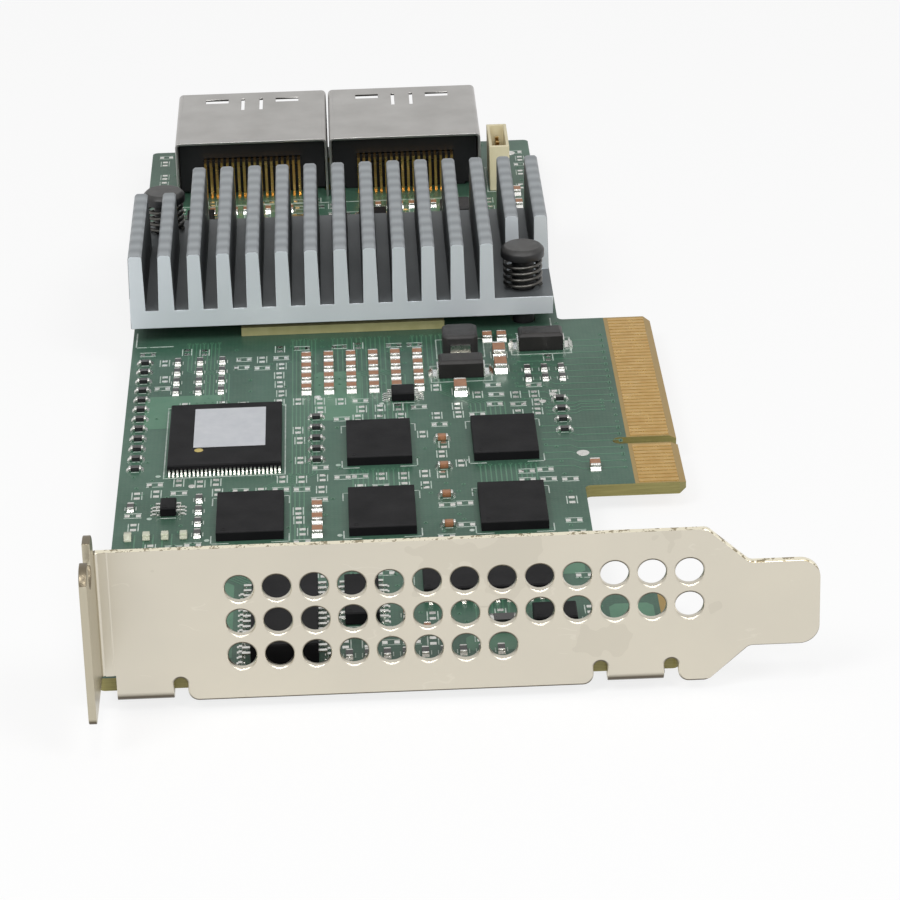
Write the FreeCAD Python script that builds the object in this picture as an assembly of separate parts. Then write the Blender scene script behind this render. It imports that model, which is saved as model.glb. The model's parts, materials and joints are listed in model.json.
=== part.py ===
import FreeCAD, Part
import math
import os

# Low-profile storage controller card: a bare board with a sheet-metal bracket, a finned heatsink,
# memory and power parts, two internal cable sockets and a gold edge connector.
#
# While modelling, x runs from the bracket's screw flange towards the edge connector, y runs from
# the bracket's outer face back along the board, and z runs up from the bracket's lower edge.
# The finished pieces are shifted so that the origin is the bottom centre of the whole card.

Vector = FreeCAD.Vector

# ---------------------------------------------------------------- bracket, millimetres
sheet = 0.86
bend_inside = 0.40
plate_length = 79.20
plate_width = 18.42
foot_width = 10.19
foot_length = 7.70
taper_length = 4.60
foot_radius = 2.20
shoulder_radius = 1.00
flange_depth = 11.43
flange_low = 3.45
flange_rise = 3.17
flange_top_corner = 2.10
flange_low_corner = 1.00
bend_strip_end = 2.35
score_width = 0.20
score_depth = 0.08
screw_notch_width = 4.42
screw_notch_depth = 4.00
screw_notch_from_edge = 5.08
vent_diameter = 3.10
vent_first_x = 16.20
vent_last_from_end = 14.23
vent_row_heights = (13.40, 9.34, 5.27)
vent_row_counts = (13, 13, 8)
relief_width = 1.55
relief_depth = 2.85
relief_flare = 1.20
tab_width = 6.20
tab_reach = 9.20
tab_centres = (5.45, 59.10)
tab_corner = 1.00

# ---------------------------------------------------------------- board
board_thickness = 1.57
board_length = 167.64
board_width = 56.60
board_top_edge = 0.20
board_gap_to_bend = 0.24
board_corner = 0.80
ear_reach = 7.20
ear_length = 16.50
tongue_start = 46.05
tongue_reach = 12.30
short_segment = 11.65
key_width = 1.90
long_segment = 38.65
key_depth = 8.00
tongue_corner = 0.80
bevel_length = 0.90
bevel_depth = 0.40
contact_pitch = 1.00
contact_width = 0.70
contact_length = 4.80
contact_thickness = 0.05
short_contacts = 11
long_contacts = 38
screw_hole_clearance = 0.20

# ---------------------------------------------------------------- bracket screws
screw_diameter = 3.00
screw_head_diameter = 5.50
screw_head_height = 1.90
screw_head_bevel = 0.80
screw_tip_short_of_tab = 0.10
screw_from_bracket = 5.60
drive_size = 2.60
drive_arm = 0.70
drive_depth = 1.10

# ---------------------------------------------------------------- heatsink and its push pins
heatsink_from_front = 93.50
heatsink_width = 56.00
heatsink_length = 33.00
heatsink_edge = 0.10
base_thickness = 2.55
fin_height = 7.80
fin_count = 15
fin_root = 2.05
fin_tip = 1.80
fin_edge = 0.30
corner_side_clearance = 0.90
corner_end_clearance = 2.90
pin_inset = 3.80
pin_shank = 2.90
pin_head_diameter = 5.80
pin_head_height = 1.50
pin_head_round = 0.50
pin_running_gap = 0.10
pin_barb_diameter = 3.90
pin_barb_height = 0.60
pin_tip_diameter = 2.00
pin_tip_below_board = 2.15
pin_split = 0.60
pin_split_length = 4.20
spring_wire = 0.50
spring_outside = 5.30
spring_length = 4.40
spring_turns = 4.5
spring_runs_a_turn = 12

# ---------------------------------------------------------------- processor under the heatsink
processor_side = 27.00
processor_offset = -1.40
substrate_thickness = 1.17
cap_side = 23.00
cap_thickness = 0.75
cap_chamfer = 0.25
pad_side = 21.00
pad_thickness = 0.30

# ---------------------------------------------------------------- memory chips
# Chips and small parts are placed by their distance from the board's top edge and from one of
# three lines across it: the board's front edge, the heatsink's front, or the sockets' front.
memory_width = 8.00
memory_length = 11.30
memory_height = 1.15
memory_chamfer = 0.08
memory_rows = (38.65, 58.35)
memory_columns = (16.25, 31.95, 47.55)

# ---------------------------------------------------------------- flash memory, two rows of leads
flash_width = 14.00
flash_length = 18.40
flash_span = 20.00
flash_height = 1.00
flash_standoff = 0.12
flash_place = ("front", 12.90, 61.60)
flash_leads_a_side = 28
flash_lead_pitch = 0.50
flash_lead_width = 0.24
flash_lead_thickness = 0.16
label_width = 8.90
label_length = 11.60
label_thickness = 0.08
label_shift = (0.55, 1.60)

# ---------------------------------------------------------------- cable sockets at the rear edge
rear_row_shift = 0.325
socket_gap = 0.30
shell_width = 22.00
shell_height = 8.90
shell_length = 21.60
shell_overhang = 0.50
shell_sheet = 0.35
shell_round = 0.70
port_length = 10.00
latch_window = (3.40, 1.80)
latch_window_from_centre = 5.20
latch_window_from_mouth = 2.60
spring_slot_length = 5.00
spring_slot_width = 0.50
spring_tongue_width = 2.20
leg_width = 1.60
leg_below_board = 0.65
leg_places = (3.00, 14.50)
leg_hole_clearance = 0.25
housing_gap = 0.05
housing_start = 3.00
housing_length = 7.60
nose_length = 6.30
nose_width = 17.60
nose_height = 4.60
slot_width = 15.60
slot_height = 1.50
slot_depth = 5.60
slot_centre_height = 4.60
wire_count = 18
wire_pitch = 0.80
wire_width = 0.36
wire_thickness = 0.20
upper_tail_setback = 1.90
lower_tail_setback = 0.80
tail_foot = 0.70

# ---------------------------------------------------------------- upright cream header
header_from_socket = 1.25
header_along = 4.50
header_pins = 4
header_pitch = 2.00
header_width = 2.90
header_wall = 0.45
header_height = 6.90
header_floor = 2.20
header_end_margin = 1.80
header_pin = 0.50
header_pin_top_gap = 1.40
header_pin_below_board = 1.20
header_hole_clearance = 0.15

# ---------------------------------------------------------------- power parts
inductor_side = 4.60
inductor_height = 2.70
inductor_corner = 0.60
inductor_places = (("heatsink", 43.20, -5.40), ("sockets", 44.60, -11.20))
terminal_thickness = 0.20
inductor_terminal_width = 2.60
inductor_terminal_height = 1.50
terminal_foot = 0.80
tantalum_length = 5.80
tantalum_width = 3.20
tantalum_height = 2.40
tantalum_chamfer = 0.35
tantalum_places = (("heatsink", 43.00, -13.60), ("heatsink", 53.80, -5.60))
tantalum_terminal_width = 2.20
tantalum_terminal_height = 1.30

# ---------------------------------------------------------------- small leaded chips
# Each row: line, place x, place y, body width between the leads, body length, height,
# leads a side, lead pitch, lead reach, turn in degrees.
small_lead_reach = 1.00
wide_lead_reach = 1.40
small_chips = (
    ("front", 6.40, 41.80, 1.90, 3.00, 1.05, 3, 0.95, small_lead_reach, 0),
    ("front", 20.50, 10.50, 7.50, 17.90, 2.35, 14, 1.27, wide_lead_reach, 0),
    ("front", 29.20, 15.20, 3.90, 9.90, 1.45, 8, 1.27, small_lead_reach, 0),
    ("front", 43.95, 19.40, 7.50, 15.40, 1.45, 12, 1.27, small_lead_reach, 90),
    ("front", 50.75, 9.30, 3.90, 4.90, 1.45, 4, 1.27, small_lead_reach, 90),
    ("heatsink", 35.30, -20.40, 2.90, 3.00, 1.05, 4, 0.65, small_lead_reach, 0),
    ("sockets", 8.00, -10.00, 3.90, 4.90, 1.45, 4, 1.27, small_lead_reach, 0),
    ("sockets", 32.60, -11.40, 3.90, 4.90, 1.45, 4, 1.27, small_lead_reach, 0),
)
small_chip_standoff = 0.12
small_lead_foot = 0.45
small_lead_thickness = 0.16
small_lead_fill = 0.36
small_chip_chamfer = 0.15

# ---------------------------------------------------------------- clock oscillator
clock_place = ("sockets", 21.40, -11.20)
clock_width = 5.00
clock_length = 3.20
clock_base_height = 0.55
clock_lid_inset = 0.25
clock_lid_height = 0.60

# ---------------------------------------------------------------- status lights
light_place = ("front", 1.80, 34.70)
light_pitch = 2.20
light_count = 4
light_width = 0.90
light_length = 1.70
light_base_height = 0.30
light_lens_height = 0.40
light_lens_length = 1.00

# ---------------------------------------------------------------- chip capacitors and resistors
# Each size: length, width, height, end band.
large_chip = (3.20, 1.60, 1.30, 0.50)
middle_chip = (2.00, 1.25, 0.90, 0.40)
small_chip = (1.60, 0.80, 0.70, 0.32)
# Each field: line, first x, first y, columns, rows, pitch x, pitch y, size, lengthwise along y.
capacitor_fields = (
    ("heatsink", 23.00, -17.60, 6, 4, 2.90, 3.40, middle_chip, True),
    ("heatsink", 42.70, -19.40, 1, 1, 1.00, 1.00, large_chip, True),
    ("heatsink", 48.20, -12.60, 1, 2, 1.00, 4.60, large_chip, True),
    ("heatsink", 46.90, -2.60, 2, 1, 1.90, 1.00, middle_chip, True),
    ("front", 24.20, 34.10, 1, 3, 1.00, 3.40, middle_chip, True),
    ("front", 39.80, 34.90, 1, 4, 1.00, 8.20, small_chip, False),
    ("front", 58.20, 49.60, 1, 1, 1.00, 1.00, middle_chip, True),
    ("front", 34.20, 8.40, 3, 1, 2.20, 1.00, small_chip, True),
    ("front", 34.20, 12.20, 1, 1, 1.00, 1.00, small_chip, True),
    ("sockets", 9.60, -5.20, 8, 1, 1.60, 1.00, small_chip, True),
    ("sockets", 31.90, -5.20, 8, 1, 1.60, 1.00, small_chip, True),
    ("sockets", 53.70, -12.00, 1, 3, 1.00, 5.20, middle_chip, True),
)
resistor_fields = (
    ("front", 1.90, 53.90, 1, 12, 1.00, 3.00, small_chip, False),
    ("heatsink", 6.20, -16.40, 3, 4, 2.90, 3.20, small_chip, True),
    ("front", 24.20, 54.70, 1, 5, 1.00, 3.20, small_chip, False),
    ("front", 55.20, 60.90, 1, 4, 1.00, 3.20, small_chip, False),
    ("front", 1.80, 42.90, 1, 1, 1.00, 1.00, small_chip, True),
    ("front", 10.00, 35.10, 1, 4, 1.00, 3.20, small_chip, True),
    ("front", 27.60, 3.00, 9, 1, 2.10, 1.00, small_chip, True),
    ("front", 45.00, 9.30, 1, 1, 1.00, 1.00, large_chip, False),
    ("heatsink", 51.60, -16.20, 3, 2, 2.20, 3.00, small_chip, True),
)
resistor_height_share = 0.70
# Decoupling capacitors on the solder side, under the processor.
underside_field = ("heatsink", 19.40, 8.00, 5, 5, 4.30, 4.30, (1.00, 0.50, 0.50, 0.25), True)

# ---------------------------------------------------------------- places that follow from the sizes
board_bottom = sheet
board_top = board_bottom + board_thickness
board_front = sheet + bend_inside + board_gap_to_bend
board_rear = board_front + board_length
board_inner_edge = board_top_edge + board_width
ear_edge = board_inner_edge + ear_reach
tongue_edge = board_inner_edge + tongue_reach
tongue_end = tongue_start + short_segment + key_width + long_segment
key_start = tongue_start + short_segment
flange_high = plate_width + flange_rise
foot_start = plate_length - foot_length
taper_start = foot_start - taper_length
foot_side = (plate_width - foot_width) / 2
vent_pitch = (plate_length - vent_last_from_end - vent_first_x) / (max(vent_row_counts) - 1)
base_bottom = board_top + substrate_thickness + cap_thickness + pad_thickness
base_top = base_bottom + base_thickness
fin_top = base_top + fin_height
heatsink_start = board_front + heatsink_from_front
heatsink_end = heatsink_start + heatsink_length
heatsink_far_side = heatsink_edge + heatsink_width
fin_pitch = (heatsink_width - fin_root) / (fin_count - 1)
processor_centre = (heatsink_edge + heatsink_width / 2,
                    heatsink_start + heatsink_length / 2 + processor_offset)
pin_places = ((heatsink_far_side - pin_inset, heatsink_start + pin_inset),
              (heatsink_edge + pin_inset, heatsink_end - pin_inset))
pin_head_bottom = base_top + spring_length
pin_reach = pin_inset + pin_head_diameter / 2
corner_fins = math.ceil((pin_reach + corner_side_clearance) / fin_pitch)
corner_depth = pin_reach + corner_end_clearance
shell_front = board_rear + shell_overhang - shell_length
shell_rear = board_rear + shell_overhang
slot_centre = board_top + slot_centre_height
rear_row_width = 2 * shell_width + socket_gap + header_from_socket + header_width
rear_row_start = board_top_edge + (board_width - rear_row_width) / 2 + rear_row_shift
socket_centres = (rear_row_start + shell_width / 2,
                  rear_row_start + shell_width * 3 / 2 + socket_gap)
header_x = rear_row_start + rear_row_width - header_width / 2
header_y = shell_front + header_along
lines = {"front": board_front, "heatsink": heatsink_start, "sockets": shell_front}

same_place = 0.0001
nodes = {}


# ---------------------------------------------------------------- small helpers
def slab(x0, x1, y0, y1, z0, z1):
    return Part.makeBox(x1 - x0, y1 - y0, z1 - z0, Vector(x0, y0, z0))


def post(x, y, diameter, z0, z1):
    return Part.makeCylinder(diameter / 2, z1 - z0, Vector(x, y, z0))


def prism(points, depth):
    outline = Part.makePolygon(points + points[:1])
    return Part.Face(outline).extrude(depth)


def edges_through(shape, axis, places):
    """Straight edges along one axis that pass through the given places in the other two."""
    others = [name for name in "xyz" if name != axis]
    found = []
    for edge in shape.Edges:
        start = edge.Vertexes[0].Point
        finish = edge.Vertexes[-1].Point
        for place in places:
            near = all(abs(getattr(point, others[i]) - place[i]) < same_place
                       for point in (start, finish) for i in (0, 1))
            if near and abs(getattr(start, axis) - getattr(finish, axis)) > same_place:
                found.append(edge)
    return found


def rounded(shape, axis, places, radius):
    return shape.makeFillet(radius, edges_through(shape, axis, places))


def top_edges(shape, height):
    return [edge for edge in shape.Edges
            if all(abs(vertex.Z - height) < same_place for vertex in edge.Vertexes)]


def place_of(place):
    """A place given as a line, a distance from the board's top edge and one from the line."""
    line, across, along = place
    return board_top_edge + across, lines[line] + along


def keep(name, *solids):
    nodes[name] = solids[0] if len(solids) == 1 else Part.makeCompound(list(solids))


# ---------------------------------------------------------------- bracket
def bracket_plate():
    """The flat face with its tapered foot, vents and lower relief notches."""
    bend_end = sheet + bend_inside
    outline = [
        Vector(bend_end, 0, flange_low), Vector(bend_strip_end, 0, flange_low),
        Vector(bend_strip_end, 0, 0), Vector(taper_start, 0, 0),
        Vector(foot_start, 0, foot_side), Vector(plate_length, 0, foot_side),
        Vector(plate_length, 0, plate_width - foot_side),
        Vector(foot_start, 0, plate_width - foot_side),
        Vector(taper_start, 0, plate_width), Vector(bend_end, 0, plate_width),
    ]
    plate = prism(outline, Vector(0, sheet, 0))
    plate = rounded(plate, "y", [(plate_length, foot_side), (plate_length, plate_width - foot_side)],
                    foot_radius)
    plate = rounded(plate, "y", [(taper_start, 0), (taper_start, plate_width),
                                 (foot_start, foot_side), (foot_start, plate_width - foot_side)],
                    shoulder_radius)
    for height, count in zip(vent_row_heights, vent_row_counts):
        for i in range(count):
            centre = Vector(vent_first_x + i * vent_pitch, 0, height)
            plate = plate.cut(Part.makeCylinder(vent_diameter / 2, sheet, centre, Vector(0, 1, 0)))
    plate = plate.cut(slab(bend_strip_end - score_width, bend_strip_end, 0, score_depth,
                           flange_low, plate_width))
    return plate


def relief_notches():
    """Round-topped notches beside the tabs; the side away from the tab flares at the edge."""
    left_tab, right_tab = tab_centres
    half = tab_width / 2
    notches = [(left_tab + half, 1), (right_tab - half, -1), (right_tab + half, 1)]
    cuts = []
    for side, away in notches:
        middle = side + away * relief_width / 2
        straight = relief_depth - relief_width / 2
        cuts.append(slab(middle - relief_width / 2, middle + relief_width / 2, 0, sheet, 0, straight))
        cuts.append(Part.makeCylinder(relief_width / 2, sheet, Vector(middle, 0, straight),
                                      Vector(0, 1, 0)))
        far = side + away * relief_width
        flare = slab(min(far, far + away * relief_flare), max(far, far + away * relief_flare),
                     0, sheet, 0, relief_flare)
        round_part = Part.makeCylinder(relief_flare, sheet,
                                       Vector(far + away * relief_flare, 0, relief_flare),
                                       Vector(0, 1, 0))
        cuts.append(flare.cut(round_part))
    return cuts


def mounting_tab(centre):
    """A tab folded back under the board, with a threaded hole for the bracket screw."""
    bend_end = sheet + bend_inside
    x0 = centre - tab_width / 2
    x1 = centre + tab_width / 2
    stump = [Vector(x0, 0, bend_end), Vector(x1, 0, bend_end),
             Vector(x1, sheet, bend_end), Vector(x0, sheet, bend_end)]
    face = Part.Face(Part.makePolygon(stump + stump[:1]))
    curve = face.revolve(Vector(0, bend_end, bend_end), Vector(1, 0, 0), 90)
    leaf = slab(x0, x1, bend_end, tab_reach, 0, sheet)
    leaf = rounded(leaf, "z", [(x0, tab_reach), (x1, tab_reach)], tab_corner)
    return curve.fuse(leaf).cut(post(centre, screw_from_bracket, screw_diameter, 0, sheet))


def screw_flange():
    """The flange that a chassis screw clamps, bent outwards from the plate's upper end."""
    bend_end = sheet + bend_inside
    flange = slab(0, sheet, -flange_depth, -bend_inside, flange_low, flange_high)
    flange = rounded(flange, "x", [(-flange_depth, flange_low)], flange_low_corner)
    flange = rounded(flange, "x", [(-flange_depth, flange_high), (-bend_inside, flange_high)],
                     flange_top_corner)
    centre_y = screw_notch_from_edge - flange_depth
    straight = flange_high - screw_notch_depth + screw_notch_width / 2
    flange = flange.cut(slab(0, sheet, centre_y - screw_notch_width / 2,
                             centre_y + screw_notch_width / 2, straight, flange_high))
    flange = flange.cut(Part.makeCylinder(screw_notch_width / 2, sheet,
                                          Vector(0, centre_y, straight), Vector(1, 0, 0)))
    strip = [Vector(0, -bend_inside, flange_low), Vector(sheet, -bend_inside, flange_low),
             Vector(sheet, -bend_inside, plate_width), Vector(0, -bend_inside, plate_width)]
    face = Part.Face(Part.makePolygon(strip + strip[:1]))
    curve = face.revolve(Vector(bend_end, -bend_inside, 0), Vector(0, 0, 1), -90)
    return flange.fuse(curve)


def make_bracket():
    bend_end = sheet + bend_inside
    plate = bracket_plate()
    for centre in tab_centres:
        plate = plate.cut(slab(centre - tab_width / 2, centre + tab_width / 2, 0, sheet, 0, bend_end))
    for notch in relief_notches():
        plate = plate.cut(notch)
    bracket = plate.fuse([screw_flange()] + [mounting_tab(centre) for centre in tab_centres])
    keep("bracket", bracket.removeSplitter())


def make_bracket_screws():
    """Pan-head screws from the component side into the bracket's threaded tabs."""
    screws = []
    for centre in tab_centres:
        head = post(centre, screw_from_bracket, screw_head_diameter, board_top,
                    board_top + screw_head_height)
        head = head.makeChamfer(screw_head_bevel, top_edges(head, board_top + screw_head_height))
        top = board_top + screw_head_height
        for long_x, long_y in ((drive_size, drive_arm), (drive_arm, drive_size)):
            head = head.cut(slab(centre - long_x / 2, centre + long_x / 2,
                                 screw_from_bracket - long_y / 2, screw_from_bracket + long_y / 2,
                                 top - drive_depth, top))
        shank = post(centre, screw_from_bracket, screw_diameter, screw_tip_short_of_tab, board_top)
        screws.append(head.fuse(shank).removeSplitter())
    keep("bracket_screws", *screws)


# ---------------------------------------------------------------- board and edge contacts
def board_outline():
    """Board with the screw ear, the recess and the keyed edge-connector tongue."""
    ear_end = board_front + ear_length
    corners = [
        (board_top_edge, board_front), (ear_edge, board_front), (ear_edge, ear_end),
        (board_inner_edge, ear_end), (board_inner_edge, tongue_start), (tongue_edge, tongue_start),
        (tongue_edge, tongue_end), (board_inner_edge, tongue_end), (board_inner_edge, board_rear),
        (board_top_edge, board_rear),
    ]
    board = prism([Vector(x, y, board_bottom) for x, y in corners], Vector(0, 0, board_thickness))
    board = rounded(board, "z", [(board_inner_edge, ear_end), (board_inner_edge, tongue_start),
                                 (board_inner_edge, tongue_end), (ear_edge, ear_end),
                                 (ear_edge, board_front), (board_top_edge, board_front),
                                 (board_inner_edge, board_rear), (board_top_edge, board_rear)],
                    board_corner)
    blunt = edges_through(board, "z", [(tongue_edge, tongue_start), (tongue_edge, tongue_end)])
    return board.makeChamfer(tongue_corner, blunt)


def tongue_bevels():
    """Wedges that thin both faces of the tongue's leading edge."""
    wedges = []
    for face, into in ((board_top, -1), (board_bottom, 1)):
        points = [Vector(tongue_edge - bevel_length, tongue_start, face),
                  Vector(tongue_edge, tongue_start, face),
                  Vector(tongue_edge, tongue_start, face + into * bevel_depth)]
        wedges.append(prism(points, Vector(0, tongue_end - tongue_start, 0)))
    return wedges


def make_board():
    board = board_outline()
    for wedge in tongue_bevels():
        board = board.cut(wedge)
    key_middle = key_start + key_width / 2
    key_end = tongue_edge - key_depth + key_width / 2
    board = board.cut(slab(key_end, tongue_edge, key_start, key_start + key_width,
                           board_bottom, board_top))
    board = board.cut(post(key_end, key_middle, key_width, board_bottom, board_top))
    for centre in tab_centres:
        board = board.cut(post(centre, screw_from_bracket, screw_diameter + 2 * screw_hole_clearance,
                               board_bottom, board_top))
    for x, y in pin_places:
        board = board.cut(post(x, y, pin_shank + 2 * pin_running_gap, board_bottom, board_top))
    for x, y in header_pin_places():
        hole = header_pin + 2 * header_hole_clearance
        board = board.cut(slab(x - hole / 2, x + hole / 2, y - hole / 2, y + hole / 2,
                               board_bottom, board_top))
    for centre in socket_centres:
        for x0, x1, y0, y1 in leg_footprints(centre):
            gap = leg_hole_clearance
            board = board.cut(slab(x0 - gap, x1 + gap, y0 - gap, y1 + gap, board_bottom, board_top))
    keep("circuit_board", board)


def contact_places():
    places = []
    for start, length, count in ((tongue_start, short_segment, short_contacts),
                                 (key_start + key_width, long_segment, long_contacts)):
        margin = (length - (count - 1) * contact_pitch) / 2
        places += [start + margin + i * contact_pitch for i in range(count)]
    return places


def make_edge_contacts():
    x1 = tongue_edge - bevel_length
    x0 = x1 - contact_length
    for name, z0 in (("edge_contacts_top", board_top),
                     ("edge_contacts_bottom", board_bottom - contact_thickness)):
        pads = [slab(x0, x1, y - contact_width / 2, y + contact_width / 2, z0, z0 + contact_thickness)
                for y in contact_places()]
        keep(name, *pads)


# ---------------------------------------------------------------- heatsink group
def fin_section(middle):
    """One fin's section: tapered from root to tip, with broken tip edges."""
    half_root = fin_root / 2
    half_tip = fin_tip / 2
    points = [(-half_root, base_top), (half_root, base_top), (half_tip, fin_top - fin_edge),
              (half_tip - fin_edge, fin_top), (fin_edge - half_tip, fin_top),
              (-half_tip, fin_top - fin_edge)]
    return [Vector(middle + x, heatsink_start, z) for x, z in points]


def make_heatsink():
    base = slab(heatsink_edge, heatsink_far_side, heatsink_start, heatsink_end, base_bottom, base_top)
    fins = []
    for i in range(fin_count):
        middle = heatsink_edge + fin_root / 2 + i * fin_pitch
        fin = prism(fin_section(middle), Vector(0, heatsink_length, 0))
        if i < corner_fins:
            fin = fin.cut(slab(middle - fin_root, middle + fin_root, heatsink_end - corner_depth,
                               heatsink_end, base_top, fin_top))
        if i >= fin_count - corner_fins:
            fin = fin.cut(slab(middle - fin_root, middle + fin_root, heatsink_start,
                               heatsink_start + corner_depth, base_top, fin_top))
        fins.append(fin)
    heatsink = base.fuse(fins)
    for x, y in pin_places:
        heatsink = heatsink.cut(post(x, y, pin_shank + 2 * pin_running_gap, base_bottom, base_top))
    keep("heatsink", heatsink.removeSplitter())


def make_push_pins():
    """Split barbed pins: the barbs catch under the board, the head holds the spring down."""
    pins = []
    springs = []
    head_top = pin_head_bottom + pin_head_height
    tip = board_bottom - pin_tip_below_board
    for x, y in pin_places:
        profile = [
            (0, head_top), (pin_head_diameter / 2 - pin_head_round, head_top),
            (pin_head_diameter / 2, head_top - pin_head_round), (pin_head_diameter / 2, pin_head_bottom),
            (pin_shank / 2, pin_head_bottom), (pin_shank / 2, board_bottom),
            (pin_barb_diameter / 2, board_bottom),
            (pin_barb_diameter / 2, board_bottom - pin_barb_height),
            (pin_tip_diameter / 2, tip), (0, tip),
        ]
        outline = [Vector(x + r, y, z) for r, z in profile]
        face = Part.Face(Part.makePolygon(outline + outline[:1]))
        pin = face.revolve(Vector(x, y, 0), Vector(0, 0, 1), 360)
        pin = pin.cut(slab(x - pin_barb_diameter, x + pin_barb_diameter, y - pin_split / 2,
                           y + pin_split / 2, tip, tip + pin_split_length))
        pins.append(pin)
        springs.append(coil_spring(x, y))
    keep("push_pins", *pins)
    keep("push_pin_springs", *springs)


def coil_spring(x, y):
    """Wire wound up the pin, as short runs between eight-sided sections to keep it light."""
    radius = (spring_outside - spring_wire) / 2
    rise = spring_length - spring_wire
    runs = round(spring_turns * spring_runs_a_turn)
    sections = []
    for i in range(runs + 1):
        angle = 360 * spring_turns * i / runs
        centre = Vector(x, y, base_top + spring_wire / 2 + rise * i / runs)
        corners = [Vector(radius + spring_wire / 2 * math.cos(turn), 0,
                          spring_wire / 2 * math.sin(turn))
                   for turn in [math.pi * k / 4 for k in range(8)]]
        section = Part.makePolygon(corners + corners[:1])
        section.rotate(Vector(0, 0, 0), Vector(0, 0, 1), angle)
        section.translate(centre)
        sections.append(section)
    return Part.makeLoft(sections, True, True)


def make_processor():
    """Chip package: substrate on the board, moulded cap on it, heat-transfer pad to the heatsink."""
    x, y = processor_centre
    half = processor_side / 2
    cap_bottom = board_top + substrate_thickness
    cap_top = cap_bottom + cap_thickness
    keep("processor_substrate", slab(x - half, x + half, y - half, y + half, board_top, cap_bottom))
    half = cap_side / 2
    cap = slab(x - half, x + half, y - half, y + half, cap_bottom, cap_top)
    keep("processor_cap", cap.makeChamfer(cap_chamfer, top_edges(cap, cap_top)))
    half = pad_side / 2
    keep("heat_transfer_pad", slab(x - half, x + half, y - half, y + half, cap_top, base_bottom))


# ---------------------------------------------------------------- chips
def make_memory_chips():
    """Three chips in the row nearer the bracket and two in the next row."""
    near, far = memory_rows
    places = [(column, near) for column in memory_columns]
    places += [(column, far) for column in memory_columns[1:]]
    for number, (across, along) in enumerate(places, 1):
        x, y = place_of(("front", across, along))
        top = board_top + memory_height
        chip = slab(x - memory_width / 2, x + memory_width / 2, y - memory_length / 2,
                    y + memory_length / 2, board_top, top)
        keep("memory_chip_%d" % number, chip.makeChamfer(memory_chamfer, top_edges(chip, top)))


def gull_lead(reach, rise, foot, width, thickness):
    """A lead that leaves a body at y = 0 towards +y and stands on z = 0."""
    drop = reach - foot
    points = [(0, rise), (drop, rise), (drop, thickness), (reach, thickness), (reach, 0),
              (drop - thickness, 0), (drop - thickness, rise - thickness), (0, rise - thickness)]
    return prism([Vector(-width / 2, y, z) for y, z in points], Vector(width, 0, 0))


def placed(shape, x, y, z, turn):
    moved = shape.copy()
    moved.rotate(Vector(0, 0, 0), Vector(0, 0, 1), turn)
    moved.translate(Vector(x, y, z))
    return moved


def make_flash():
    """Thin flash memory with leads on its short sides and a blank paper label."""
    x, y = place_of(flash_place)
    bottom = board_top + flash_standoff
    top = bottom + flash_height
    body = slab(x - flash_width / 2, x + flash_width / 2, y - flash_length / 2,
                y + flash_length / 2, bottom, top)
    keep("flash_body", body.makeChamfer(small_chip_chamfer, top_edges(body, top)))
    reach = (flash_span - flash_length) / 2
    rise = flash_standoff + flash_height / 2
    lead = gull_lead(reach, rise, reach / 2, flash_lead_width, flash_lead_thickness)
    leads = []
    for i in range(flash_leads_a_side):
        lead_x = x + (i - (flash_leads_a_side - 1) / 2) * flash_lead_pitch
        leads.append(placed(lead, lead_x, y + flash_length / 2, board_top, 0))
        leads.append(placed(lead, lead_x, y - flash_length / 2, board_top, 180))
    keep("flash_leads", *leads)
    label_x = x + label_shift[0]
    label_y = y + label_shift[1]
    keep("flash_label", slab(label_x - label_width / 2, label_x + label_width / 2,
                             label_y - label_length / 2, label_y + label_length / 2,
                             top, top + label_thickness))


def make_small_chips():
    bodies = []
    leads = []
    for line, across, along, width, length, height, count, pitch, reach, turn in small_chips:
        x, y = place_of((line, across, along))
        top = small_chip_standoff + height
        body = slab(-width / 2, width / 2, -length / 2, length / 2, small_chip_standoff, top)
        body = body.makeChamfer(small_chip_chamfer, top_edges(body, top))
        bodies.append(placed(body, x, y, board_top, turn))
        rise = small_chip_standoff + height / 2
        lead = gull_lead(reach, rise, small_lead_foot, pitch * small_lead_fill,
                         small_lead_thickness)
        for i in range(count):
            lead_y = (i - (count - 1) / 2) * pitch
            for side in (-1, 1):
                standing = placed(lead, side * width / 2, lead_y, 0, -90 * side)
                leads.append(placed(standing, x, y, board_top, turn))
    keep("small_chip_bodies", *bodies)
    keep("small_chip_leads", *leads)


def make_clock():
    x, y = place_of(clock_place)
    half_x = clock_width / 2
    half_y = clock_length / 2
    lid_bottom = board_top + clock_base_height
    lid_top = lid_bottom + clock_lid_height
    keep("clock_base", slab(x - half_x, x + half_x, y - half_y, y + half_y, board_top, lid_bottom))
    half_x -= clock_lid_inset
    half_y -= clock_lid_inset
    lid = slab(x - half_x, x + half_x, y - half_y, y + half_y, lid_bottom, lid_top)
    keep("clock_lid", lid.makeChamfer(clock_lid_inset / 2, top_edges(lid, lid_top)))


def make_status_lights():
    lights = []
    first_x, y = place_of(light_place)
    base_top_height = board_top + light_base_height
    lens_top = base_top_height + light_lens_height
    for i in range(light_count):
        x = first_x + i * light_pitch
        base = slab(x - light_width / 2, x + light_width / 2, y - light_length / 2,
                    y + light_length / 2, board_top, base_top_height)
        lens = slab(x - light_width / 2, x + light_width / 2, y - light_lens_length / 2,
                    y + light_lens_length / 2, base_top_height, lens_top)
        lights.append(base.fuse(lens))
    keep("status_lights", *lights)


# ---------------------------------------------------------------- power parts
def end_terminal(width, height, foot):
    """A strip that climbs a body's end at y = 0 and folds outwards onto the board at z = 0."""
    thickness = terminal_thickness
    points = [(0, 0), (foot, 0), (foot, thickness), (thickness, thickness), (thickness, height),
              (0, height)]
    return prism([Vector(-width / 2, y, z) for y, z in points], Vector(width, 0, 0))


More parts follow.
